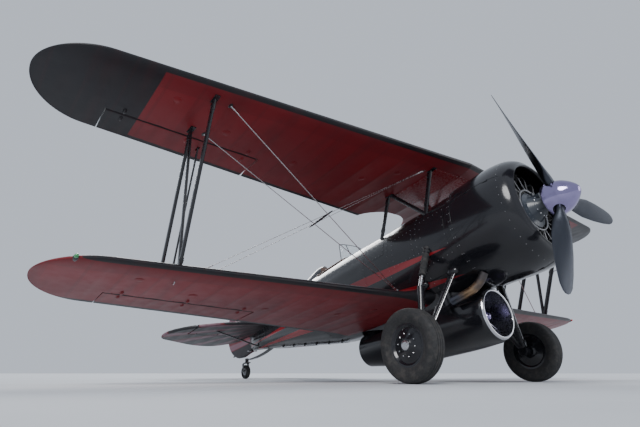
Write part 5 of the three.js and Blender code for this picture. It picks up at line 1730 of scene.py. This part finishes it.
def make_gear_legs():
    legs = [strut(APEX, end, chord, thickness) for end, chord, thickness in GEAR_LEGS]
    pair("gear_v_{}", total(legs), "strut", replaces=["gear_leg_{}"])
    sleeve = bar(*SHOCK_SLEEVE, 0.036, 32)
    collars = [bar(*part_of(*SHOCK_SLEEVE, a, b), 0.041, 32) for a, b in ((0.1, 0.13), (0.35, 0.37))]
    knuckle = bar(APEX - (0, 0.045, 0), APEX + (0, 0.05, 0), 0.058, 40)
    pair("gear_shock_{}", total([sleeve, *collars, knuckle]), "black", slot="strut_paint", bevel=0.003)
    rod = bar(*SHOCK_ROD, 0.024, 32)
    axle = bar(APEX, MAIN_AXLE + (0, 0.092, 0), 0.028, 32)
    pair("gear_rod_{}", rod + axle, "steel", bevel=0.003)
    folds = np.linspace(0, 1, 29)
    path = [mix(*part_of(*SHOCK_ROD, -0.03, 0.17), t) for t in folds]
    gaiter = tube(path, 0.0385 + 0.0045 * np.cos(14 * np.pi * folds), 28)
    pair("gear_gaiter_{}", gaiter, "rubber")
    fittings = []
    for end, chord, thickness in GEAR_LEGS:
        fittings += cuffs(APEX, end, chord, thickness, 0.05, 0.07)
    fittings.append(tube(part_of(*SHOCK_ROD, 0.43, 0.53), [0.034, 0.04], 28))
    for end, _, _ in GEAR_LEGS:
        fittings.append(pod(part_of(APEX, end, 0, -0.06)[1], (0.075, 0.05, 0.05)))
    pair("gear_fittings_{}", total(fittings), "black", slot="strut_paint")


def make_brakes():
    brake = box(APEX + (-0.035, 0.012, 0.05), APEX + (0.035, 0.046, 0.13))
    pair("brake_{}", brake, "dull_steel", bevel=0.006)
    start, end = APEX + (0.036, 0.01, 0.1), np.array(GEAR_LEGS[0][0])
    leg = [mix(APEX, end, t) + (0.037, 0, 0) for t in np.linspace(0.14, 0.93, 14)]
    hose = curve_through([start - (0.01, 0, 0.02), start + (0.012, 0, 0.0), *leg], 4)
    clips = [strut(*part_of(APEX, end, at, at + 0.014), 0.092, 0.042) for at in (0.24, 0.46, 0.68)]
    pair("brake_pipe_{}", tube(hose, 0.0035, 8), "steel")
    pair("brake_clips_{}", total(clips), "black", slot="strut_paint")


def standing_radius(tyre, sides):
    return tyre["radius"] * math.cos(math.pi / sides)


def tyre_profile(radius, width, rim):
    """A treaded tyre's closed outline. Rows are [across, radius]."""
    half = width / 2
    side = [(0.6 * half, rim), (0.72 * half, rim + 0.012)]
    for wide, high in ((0.96, 0.4), (1.0, 0.58), (0.9, 0.84), (0.72, 0.95)):
        side.append((wide * half, mix(rim, radius, high)))
    side = curve_through([*side, (0.5 * half, 0.997 * radius)], 6)
    deep = radius - 0.03 * radius
    tread = []
    for place in (0.33, 0.0, -0.33):
        at, w = place * half, 0.035 * half
        tread += [(at + w, radius), (at + 0.8 * w, deep), (at - 0.8 * w, deep), (at - w, radius)]
    other = [(-across, r) for across, r in side[::-1]]
    return [*side, *tread, *other]


def make_main_wheels():
    radius = standing_radius(MAIN_TYRE, WHEEL_SIDES)
    half = 0.31 * MAIN_TYRE["width"]
    tyre = revolve(tyre_profile(radius, MAIN_TYRE["width"], MAIN_TYRE["rim"]), 120, closed=True, axis="Y")
    hub = revolve(hub_profile(half, MAIN_TYRE["rim"] - 0.0005), 96, closed=True, axis="Y")
    cap = [(half + 0.02, 0.05), (half + 0.03, 0.048), (half + 0.034, 0.03), (half + 0.034, 0.0285)]
    bolts = turned_copies(dome((0, half + 0.008, 0.11), 0.008, 0.009, "Y"), 10, "Y")
    valve = tube([(0, half - 0.004, 0.164), (0, half + 0.012, 0.16), (0, half + 0.02, 0.15)], 0.0045, 10)
    trim = total([revolve(cap, 48, axis="Y"), *bolts, valve])
    body = "wheel_{}"
    pair("main_tyre_{}", tyre.shifted(MAIN_AXLE), "rubber", body, ["tyre_{}"])
    pair("main_hub_{}", hub.shifted(MAIN_AXLE), "black", body, ["wheel_hub_{}"], slot="wheel_paint")
    pair("main_hub_trim_{}", trim.shifted(MAIN_AXLE), "steel", body)


def hub_profile(half, rim):
    """The main hub's closed outline. Rows are [across, radius]."""
    return [
        (-half - 0.018, 0.031),
        (-half - 0.018, 0.062),
        (-half + 0.006, 0.08),
        (-half + 0.014, rim - 0.034),
        (-half - 0.004, rim - 0.014),
        (-half - 0.004, rim + 0.006),
        (-half + 0.003, rim + 0.006),
        (-half + 0.006, rim),
        (half - 0.006, rim),
        (half - 0.003, rim + 0.006),
        (half + 0.004, rim + 0.006),
        (half + 0.004, rim - 0.014),
        (half - 0.014, rim - 0.034),
        (half + 0.006, 0.085),
        (half + 0.024, 0.062),
        (half + 0.024, 0.031),
    ]


def tail_axle():
    """The tail wheel's axle in level axes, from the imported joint."""
    return np.array(LEVEL @ joint_place("tail_wheel_spin"))


def tail_pivot_z():
    return tail_axle()[2] + TAIL_TYRE["radius"] + 0.03


def make_tail_spring():
    pivot_z = tail_pivot_z()
    level = pivot_z + 0.044
    path = [
        (-5.78, 0, level + 0.008), (-6.08, 0, level - 0.022), (-6.4, 0, level - 0.024), (PIVOT_X, 0, level),
    ]
    path = curve_through(path, 8)
    leaves = [leaf(path, 0.07, 0.008, 0.007), leaf(path[:22], 0.066, 0.008, -0.001)]
    leaves.append(leaf(path[:16], 0.062, 0.006, -0.0085))
    piece("tail_leaf_spring", total(leaves), "spring", replaces=["tail_spring"], bevel=0.001)
    socket = bar((PIVOT_X, 0, pivot_z + 0.012), (PIVOT_X, 0, pivot_z + 0.076), 0.034, 40)
    piece("tail_socket", socket, "strut", bevel=0.003)


def make_tail_fork():
    x, _, z = tail_axle()
    pivot_z = tail_pivot_z()
    half = TAIL_TYRE["width"] / 2 + 0.01
    crown = box((-6.74, -half - 0.008, pivot_z - 0.012), (-6.64, half + 0.008, pivot_z + 0.004))
    cheeks = []
    for side in (-1, 1):
        near, far = side * half, side * (half + 0.008)
        rings = []
        for cx, cz, reach in ((-6.735, pivot_z - 0.004, 0.036), (x, z, 0.022)):
            plan = [(cx - reach, near), (cx + reach, near), (cx + reach, far), (cx - reach, far)]
            rings.append(level_ring(plan, cz))
        cheeks.append(loft(rings))
    post = bar((PIVOT_X, 0, pivot_z - 0.008), (PIVOT_X, 0, pivot_z + 0.011), 0.026, 32)
    frame_shape = total([crown, *cheeks, post])
    piece("tail_fork_frame", frame_shape, "strut", "tail_fork", ["tail_fork"], slot="bare_steel", bevel=0.002)
    pin = bar((x, -half - 0.014, z), (x, half + 0.014, z), 0.009, 20)
    piece("tail_fork_pin", pin, "steel", "tail_fork")


def make_tail_wheel():
    radius = standing_radius(TAIL_TYRE, TAIL_WHEEL_SIDES)
    tyre = revolve(tyre_profile(radius, TAIL_TYRE["width"], TAIL_TYRE["rim"]), 80, closed=True, axis="Y")
    piece("tail_tyre", tyre.shifted(tail_axle()), "rubber", "tail_wheel", replaces=["tail_wheel"])
    wide = TAIL_TYRE["width"] / 2
    rows = [(-wide, 0.011), (-wide, 0.03), (-0.6 * wide, 0.045), (-0.66 * wide, 0.0625)]
    rows += [(0.66 * wide, 0.0625), (0.6 * wide, 0.045), (wide, 0.03), (wide, 0.011)]
    hub = revolve(rows, 64, closed=True, axis="Y").shifted(tail_axle())
    piece("tail_wheel_hub", hub, "dull_steel", "tail_wheel", slot="wheel_paint")


CORNERS = ((-1, -1), (1, -1), (1, 1), (-1, 1))


def leaf(path, width, thickness, rise):
    """A flat spring leaf along a path in the middle plane, a little above or below it."""
    rings = []
    for p in path:
        rings.append(np.array([p + (0, a * width / 2, rise + b * thickness / 2) for a, b in CORNERS]))
    return loft(rings)


def make_tail_braces():
    shape = strut((-6.02, 0.09, -0.06), (-5.99, 0.98, TAIL_Z - 0.02), 0.042, 0.02)
    pair("tail_brace_strut_{}", shape, "strut", replaces=["tail_brace_{}"])


# Cockpit


def make_cockpit():
    plan = cockpit_plan(-0.002)
    floor = COCKPIT["floor"] + 0.002
    heights = np.array([skin_height(x, y) - 0.004 for x, y in plan])
    inner = cockpit_plan(-0.008)
    rings = [level_ring(plan, floor), np.column_stack([plan, heights])]
    rings += [np.column_stack([inner, heights]), level_ring(inner, floor + 0.004)]
    piece("cockpit_lining", loft(rings), "cockpit")
    path = np.array([(x, y, skin_height(x, y) + 0.006) for x, y in cockpit_plan(0.002)])
    coaming = piece("cockpit_coaming", ring_tube(path, 0.017, 16), "leather")
    screws = []
    for number in range(0, len(path), 2):
        x, y, _ = path[number]
        out = np.array((x - (COCKPIT["front"] + COCKPIT["rear"]) / 2, y, 0))
        x, y, _ = path[number] + 0.026 * out / np.linalg.norm(out)
        screws.append(stud((x, y, skin_height(x, y) + 0.0005), 0.004))
    piece("coaming_screws", total(screws), "steel")


PANEL_X = -3.31
PANEL_LOW = 0.14
# Dials on the instrument panel. Columns: y, z, radius, needle angle in degrees.
DIALS = (
    (-0.16, 0.385, 0.038, 210),
    (-0.056, 0.41, 0.044, 60),
    (0.056, 0.41, 0.044, -40),
    (0.16, 0.385, 0.038, 130),
    (-0.185, 0.285, 0.026, 15),
    (-0.1, 0.295, 0.038, 20),
    (0.0, 0.3, 0.042, 250),
    (0.1, 0.295, 0.038, -75),
    (0.185, 0.285, 0.026, 100),
)


# Knobs under the dials. Columns: y, z, radius.
PANEL_KNOBS = ((0.03, 0.2, 0.014), (0.1, 0.195, 0.011), (0.165, 0.2, 0.011))
BOOT_PROFILE = [(0, 0.075), (0.012, 0.07), (0.03, 0.045), (0.06, 0.03), (0.085, 0.02), (0.09, 0.012)]

BELT_WIDTH = 0.045
BELT_Y = 0.09
# The shoulder belts' way over the seat's back. Columns: distance ahead of the cockpit's rear edge, z.
SHOULDER_BELT = [
    (0.06, 0.2), (0.062, 0.36), (0.085, 0.402), (0.13, 0.398), (0.17, 0.34), (0.18, 0.16), (0.182, 0.0),
    (0.2, -0.078), (0.27, -0.093),
]
# A lap belt's way over the cushion. Columns: distance from the middle, z.
LAP_BELT = [(0.213, -0.16), (0.196, -0.122), (0.14, -0.1), (0.03, -0.094)]


def dial(y, z, radius, degrees):
    """A dial's bezel, face, and its marks with the needle, facing aft."""
    rim = [(0, radius), (-0.012, radius), (-0.014, 0.86 * radius), (0, 0.84 * radius)]
    bezel = revolve(rim, 32, closed=True)
    face = revolve([(0, 0.85 * radius), (-0.004, 0.85 * radius), (-0.0042, 0.001)], 32)
    marks = []
    for number in range(12):
        mark = box((-0.0052, -0.0009, 0.66 * radius), (-0.004, 0.0009, 0.79 * radius))
        marks.append(mark.turned(math.radians(30 * number), "X"))
    rings = []
    for height, half in ((-0.2 * radius, 0.0018), (0.62 * radius, 0.0006)):
        plan = [(-0.0064, -half), (-0.0064, half), (-0.0054, half), (-0.0054, -half)]
        rings.append(level_ring(plan, height))
    marks.append(loft(rings).turned(math.radians(degrees), "X"))
    marks.append(pod((-0.0055, 0, 0), (0.0025, 0.0035, 0.0035), 10))
    return [shape.shifted((PANEL_X, y, z)) for shape in (bezel, face, total(marks))]


def strap(path, width, thickness=0.0022):
    """A flat strap along a path in the plane y = 0, width across."""
    points = curve_through(path, 6)
    normals = np.cross(np.gradient(points, axis=0), (0, 1, 0))
    normals /= np.linalg.norm(normals, axis=1)[:, None]
    across = np.array((0, width / 2, 0))
    rings = []
    for p, n in zip(points, normals):
        rings.append(np.array([p + a * across + b * thickness / 2 * n for a, b in CORNERS]))
    return loft(rings)


def panel_board():
    """The instrument panel's board, arched under the deck."""
    plan = cockpit_plan(-0.012)
    wall = plan[(plan[:, 1] > 0) & (plan[:, 0] > COCKPIT["front"] - 0.16)]
    half = np.interp(-PANEL_X, -wall[:, 0], wall[:, 1])
    arch = [(y, skin_height(PANEL_X, y) - 0.024) for y in np.linspace(half, -half, 25)]
    outline = [(half, PANEL_LOW), *arch, (-half, PANEL_LOW)]
    return loft([np.array([(x, y, z) for y, z in outline]) for x in (PANEL_X, PANEL_X + 0.004)])


def make_panel():
    cans = []
    for y, z, radius, _ in DIALS:
        cans.append(bar((PANEL_X + 0.003, y, z), (PANEL_X + 0.05, y, z), 0.9 * radius, 20))
    piece("instrument_panel", total([panel_board(), *cans]), "panel", bevel=0.001)
    bezels, faces, marks = (total(shapes) for shapes in zip(*(dial(*row) for row in DIALS)))
    piece("dial_bezels", bezels, "dull_steel")
    piece("dial_faces", faces, "panel")
    piece("dial_marks", marks, "dial")
    switches = []
    for y in np.linspace(-0.19, -0.05, 5):
        switches.append(bar((PANEL_X, y, 0.19), (PANEL_X - 0.006, y, 0.19), 0.008, 14))
        switches.append(tube([(PANEL_X, y, 0.19), (PANEL_X - 0.028, y, 0.198)], [0.0025, 0.004], 8))
    for y, z, r in PANEL_KNOBS:
        knob = revolve([(0, 0.005), (-0.02, 0.005), (-0.022, r), (-0.034, r), (-0.037, 0.6 * r)], 20)
        switches.append(knob.shifted((PANEL_X, y, z)))
    piece("panel_switches", total(switches), "steel")


def make_stick():
    floor = COCKPIT["floor"]
    stick = [(-3.58, 0, floor + 0.02), (-3.575, 0, -0.12), (-3.6, 0, 0.06), (-3.62, 0, 0.13)]
    handle = curve_through([(-3.615, 0, 0.12), (-3.622, 0, 0.16), (-3.634, 0, 0.2), (-3.642, 0, 0.235)], 6)
    boot = revolve(BOOT_PROFILE, 28, axis="Z").shifted((-3.58, 0, floor + 0.004))
    piece("control_stick", tube(curve_through(stick, 6), 0.0125, 16), "dull_steel", slot="dark_metal")
    thick = 0.0175 + 0.002 * np.cos(np.linspace(0, 6 * np.pi, len(handle)))
    piece("stick_handle", tube(handle, thick, 18), "rubber")
    piece("stick_boot", boot, "leather")


def make_pedals():
    low, high = COCKPIT["floor"] + 0.01, COCKPIT["floor"] + 0.16
    pedals = []
    for side in (-1, 1):
        y = side * 0.13
        pedals.append(bar((-3.32, y - 0.05, high), (-3.32, y + 0.05, high), 0.011, 14))
        for edge in (-0.042, 0.042):
            pedals.append(bar((-3.35, y + edge, low), (-3.32, y + edge, high), 0.007, 10))
    piece("rudder_pedals", total(pedals), "steel")


def make_throttle():
    quadrant = box((-3.55, 0.235, 0.1), (-3.4, 0.262, 0.2))
    slots = [box((-3.54, 0.233, z), (-3.41, 0.236, z + 0.008)) for z in (0.125, 0.165)]
    piece("throttle_box", total([quadrant, *slots]), "panel", bevel=0.004)
    levers, knobs = [], []
    for x, length, r in ((-3.5, 0.11, 0.017), (-3.45, 0.09, 0.013)):
        levers.append(tube([(x, 0.23, 0.17), (x + 0.02, 0.222, 0.17 + length)], 0.0055, 10))
        knobs.append(pod((x + 0.021, 0.221, 0.175 + length), (r, r, r), 16))
    piece("throttle_levers", total(levers), "steel")
    piece("throttle_knobs", total(knobs), "panel")


def make_cockpit_tubes():
    tubes = []
    for side in (-1, 1):
        y = side * 0.266
        for z0, z1 in ((0.06, 0.09), (-0.17, -0.15)):
            tubes.append(bar((-3.42, y, z0), (-3.86, y, z1), 0.01, 12))
        for x0, x1 in ((-3.45, -3.5), (-3.68, -3.6), (-3.68, -3.84)):
            tubes.append(bar((x0, y, COCKPIT["floor"] + 0.01), (x1, y, 0.08), 0.009, 12))
    piece("cockpit_tubes", total(tubes), "cockpit")


def make_belts():
    rear = COCKPIT["rear"]
    shoulder = [(rear + ahead, 0, z) for ahead, z in SHOULDER_BELT]
    belts = [strap(shoulder, BELT_WIDTH).shifted((0, y, 0)) for y in (-BELT_Y, BELT_Y)]
    for side in (-1, 1):
        lap = strap([(side * out, 0, z) for out, z in LAP_BELT], BELT_WIDTH)
        belts.append(lap.turned(math.radians(90), "Z").shifted((rear + 0.3, 0, 0)))
    piece("seat_belts", total(belts), "webbing")
    buckle = box((rear + 0.268, -0.034, -0.095), (rear + 0.332, 0.034, -0.083))
    tabs = [box((rear + 0.174, y - 0.028, 0.2), (rear + 0.184, y + 0.028, 0.232)) for y in (-BELT_Y, BELT_Y)]
    piece("belt_buckles", total([buckle, *tabs]), "steel", bevel=0.003)


def make_headrest_pad():
    make_pad("headrest_pad", (-4.05, -0.086, 0.6), (-4.012, 0.086, 0.71), "X", 0.006, voxel=0.005)


def windscreen_ray(angle, share):
    """A point on the windscreen's curved surface: share 0 at its foot, 1 at its top edge."""
    radius_x, radius_y, z = mix(np.array((0.235, 0.262, 0.43)), np.array((0.06, 0.225, 0.8)), share)
    x = COCKPIT["front"] - 0.15 + radius_x * math.cos(angle)
    return np.array((x, radius_y * math.sin(angle), z))


def foot_share(angle):
    """Where the windscreen's surface meets the deck."""
    shares = np.linspace(0, 1, 200)
    for share in shares:
        x, y, z = windscreen_ray(angle, share)
        if z > skin_height(x, y):
            return share
    return 0.0


def make_windscreen():
    angles = np.radians(np.linspace(-80, 80, 49))
    feet = [foot_share(a) for a in angles]
    rings = []
    for angle, foot in zip(angles, feet):
        outward = np.array((math.cos(angle), math.sin(angle), 0))
        shares = np.linspace(foot, 1, 12)
        outside = [windscreen_ray(angle, s) for s in shares]
        inside = [p - 0.004 * outward for p in outside[::-1]]
        rings.append(np.array([*outside, *inside]))
    piece("windscreen_pane", loft(rings), "glass", replaces=["windscreen"])
    top = np.array([windscreen_ray(a, 1) for a in angles])
    base = np.array([windscreen_ray(a, f) for a, f in zip(angles, feet)])
    bars = [tube(top, 0.006, 10), tube(base, 0.008, 10)]
    for number in (0, 14, 34, 48):
        line = [windscreen_ray(angles[number], s) for s in np.linspace(feet[number], 1, 6)]
        bars.append(tube(line, 0.006, 10))
    piece("windscreen_frame", total(bars), "strut")


SEAT_SEAMS = (-0.111, -0.037, 0.037, 0.111)


def make_seat():
    rear, floor = COCKPIT["rear"], COCKPIT["floor"]
    pan = box((rear + 0.13, -0.215, floor + 0.12), (rear + 0.56, 0.215, floor + 0.15))
    back = box((rear + 0.085, -0.215, floor + 0.12), (rear + 0.105, 0.215, floor + 0.72))
    foot = box((rear + 0.2, -0.15, floor), (rear + 0.48, 0.15, floor + 0.125))
    piece("seat_frame", total([pan, back, foot]), "cockpit", replaces=["pilot_seat"], bevel=0.008)
    low, high = (rear + 0.165, -0.185, floor + 0.153), (rear + 0.535, 0.185, floor + 0.207)
    make_pad("seat_cushion", low, high, "Z", 0.022, SEAT_SEAMS)
    low, high = (rear + 0.107, -0.185, floor + 0.25), (rear + 0.147, 0.185, floor + 0.685)
    make_pad("seat_back_cushion", low, high, "X", 0.022, SEAT_SEAMS)


CLOTH_FRAMES = 20
CLOTH_PRESSURE = 4.0


def settle(made):
    """Makes what the object's modifiers give its own mesh."""
    graph = bpy.context.evaluated_depsgraph_get()
    old = made.data
    made.data = bpy.data.meshes.new_from_object(made.evaluated_get(graph))
    made.modifiers.clear()
    bpy.data.meshes.remove(old)
    made.data.polygons.foreach_set("use_smooth", [True] * len(made.data.polygons))


def level_places(mesh):
    flat = np.empty(3 * len(mesh.vertices))
    mesh.vertices.foreach_get("co", flat)
    turn = np.array(LEVEL)
    return flat.reshape(-1, 3) @ turn[:3, :3].T + turn[:3, 3]


def put_level_places(mesh, places):
    turn = np.array(PARK)
    mesh.vertices.foreach_set("co", (places @ turn[:3, :3].T + turn[:3, 3]).ravel())
    mesh.update()


def swell(made, thin, base, cap, voxel):
    """Fills a pad by a short cloth simulation. Its base is held, and no point moves further than cap."""
    grid = made.modifiers.new("grid", "REMESH")
    grid.mode = "VOXEL"
    grid.voxel_size = voxel
    settle(made)
    start = level_places(made.data)
    held = made.vertex_groups.new(name="held")
    held.add(np.flatnonzero(start[:, thin] < base + 0.004).tolist(), 1.0, "REPLACE")
    cloth = made.modifiers.new("cloth", "CLOTH")
    cloth.settings.use_pressure = True
    cloth.settings.uniform_pressure_force = CLOTH_PRESSURE
    cloth.settings.effector_weights.gravity = 0.0
    cloth.settings.vertex_group_mass = "held"
    for number in range(1, CLOTH_FRAMES + 1):
        scene.frame_set(number)
    settle(made)
    scene.frame_set(1)
    move = level_places(made.data) - start
    length = np.linalg.norm(move, axis=1)
    put_level_places(made.data, start + move * np.minimum(1, cap / np.maximum(length, 1e-9))[:, None])
    made.vertex_groups.clear()
    made.modifiers.new("finer", "SUBSURF").levels = 1
    settle(made)


def sew(made, thin, seams):
    """Presses the sewn channels into a pad's face."""
    places = level_places(made.data)
    for seam in seams:
        channel = np.exp(-(((places[:, 1] - seam) / 0.008) ** 2))
        face = ease(places[:, thin], *np.quantile(places[:, thin], (0.3, 0.7)))
        places[:, thin] -= 0.006 * channel * face
    put_level_places(made.data, places)


def welt(made, thin):
    """The piping round a pad's edge."""
    places = level_places(made.data)
    flat = [axis for axis in range(3) if axis != thin]
    middle = (places.min(axis=0) + places.max(axis=0)) / 2
    u, v = (places[:, axis] - middle[axis] for axis in flat)
    angles = np.arctan2(v, u)
    reach = np.hypot(u, v)
    path = []
    for angle in np.linspace(-np.pi, np.pi, 73)[:-1]:
        off = np.abs((angles - angle + np.pi) % (2 * np.pi) - np.pi)
        far = np.argmax(reach - 0.15 * off)
        path.append((reach[far] * math.cos(angle), reach[far] * math.sin(angle), places[far, thin]))
    path = np.array(path)
    path[:, 2] = np.mean(path[:, 2])
    ring = ring_tube(path, 0.0045, 8)
    verts = np.empty_like(ring.verts)
    for axis, column in zip((*flat, thin), ring.verts.T):
        verts[:, axis] = column + (0 if axis == thin else middle[axis])
    return Shape(verts, ring.faces)


def make_pad(name, low, high, facing, cap, seams=(), voxel=0.008):
    """A stuffed leather pad that rests on its low side of the facing axis."""
    thin = "XYZ".index(facing)
    made = piece(name, cushion(low, high), "leather")
    swell(made, thin, low[thin], cap, voxel)
    sew(made, thin, seams)
    piece(f"{name}_welt", welt(made, thin), "leather")


def cushion(low, high, steps=20):
    """A crowned closed pad whose edges pull in between its corners."""
    low, high = np.asarray(low, float), np.asarray(high, float)
    middle, half = (low + high) / 2, (high - low) / 2
    turn_u = np.linspace(-np.pi / 2, np.pi / 2, steps + 1)[1:-1]
    turn_v = 2 * np.pi * np.arange(2 * steps) / (2 * steps)

    def bent(value, power):
        return np.sign(value) * np.abs(value) ** power

    rings = []
    thin = int(np.argmin(half))
    flat = [i for i in range(3) if i != thin]
    for u in turn_u:
        ring = np.empty((len(turn_v), 3))
        ring[:, thin] = middle[thin] + half[thin] * bent(np.sin(u), 0.75)
        for axis, wave in zip(flat, (np.cos(turn_v), np.sin(turn_v))):
            pull = 1 - 0.03 * np.sin(2 * turn_v) ** 2
            ring[:, axis] = middle[axis] + half[axis] * bent(np.cos(u), 0.35) * bent(wave, 0.32) * pull
        rings.append(ring)
    return loft(rings)


# Stage, light and camera

FLOOR_SIZE = 400.0
# Wide soft lamps, far off. Columns: name, direction that it shines from, spread in degrees, strength.
LIGHTS = (
    ("key", (5.0, -6.5, 7.0), 28.0, 2.6),
    ("fill", (7.0, 6.0, 3.0), 40.0, 0.8),
    ("rim", (-8.0, 3.0, 5.0), 25.0, 1.2),
)


def make_stage():
    half = FLOOR_SIZE / 2
    mesh = bpy.data.meshes.new("floor")
    mesh.from_pydata([(a * half, b * half, 0) for a, b in CORNERS], [], [(0, 1, 2, 3)])
    look = Look("floor")
    tone = look.uneven(0.6, 0.0, 1.0, 5.0)
    look.set(Base_Color=look.blend(tone, (0.5, 0.52, 0.55), (0.54, 0.56, 0.59)), Roughness=0.8)
    mesh.materials.append(look.material)
    floor = bpy.data.objects.new("floor", mesh)
    scene.collection.objects.link(floor)
    world = bpy.data.worlds.new("studio")
    scene.world = world
    world.use_nodes = True
    background = world.node_tree.nodes["Background"]
    background.inputs["Color"].default_value = (0.68, 0.74, 0.84, 1.0)
    background.inputs["Strength"].default_value = 0.88


def make_lights():
    for name, place, spread, strength in LIGHTS:
        data = bpy.data.lights.new(name, "SUN")
        data.angle = math.radians(spread)
        data.energy = strength
        made = bpy.data.objects.new(name, data)
        made.rotation_euler = Vector(place).to_track_quat("Z", "Y").to_euler()
        scene.collection.objects.link(made)


CAMERA_PLACE = Vector((5.6, -4.8, 0.1))
CAMERA_TARGET = Vector((0.175, -0.593, 2.367))
CAMERA_LENS = 27.2


def make_camera():
    data = bpy.data.cameras.new("camera")
    data.lens = CAMERA_LENS
    data.sensor_width = 36.0
    made = bpy.data.objects.new("camera", data)
    made.location = CAMERA_PLACE
    made.rotation_euler = (CAMERA_TARGET - CAMERA_PLACE).to_track_quat("-Z", "Y").to_euler()
    scene.collection.objects.link(made)
    scene.camera = made


make_camera()
make_stage()
make_lights()
make_wings()
make_wing_details()
make_tailplane()
make_fin()
make_tail_details()
make_fuselage()
make_fuselage_details()
make_cowling()
make_engine()
make_propeller()
make_exhaust()
make_nacelle()
make_jet_engine()
make_struts()
make_wires()
make_pitot()
make_aileron_links()
make_gear_legs()
make_brakes()
make_main_wheels()
make_tail_spring()
make_tail_fork()
make_tail_wheel()
make_tail_braces()
make_cockpit()
make_panel()
make_stick()
make_pedals()
make_throttle()
make_cockpit_tubes()
make_belts()
make_headrest_pad()
make_windscreen()
make_seat()
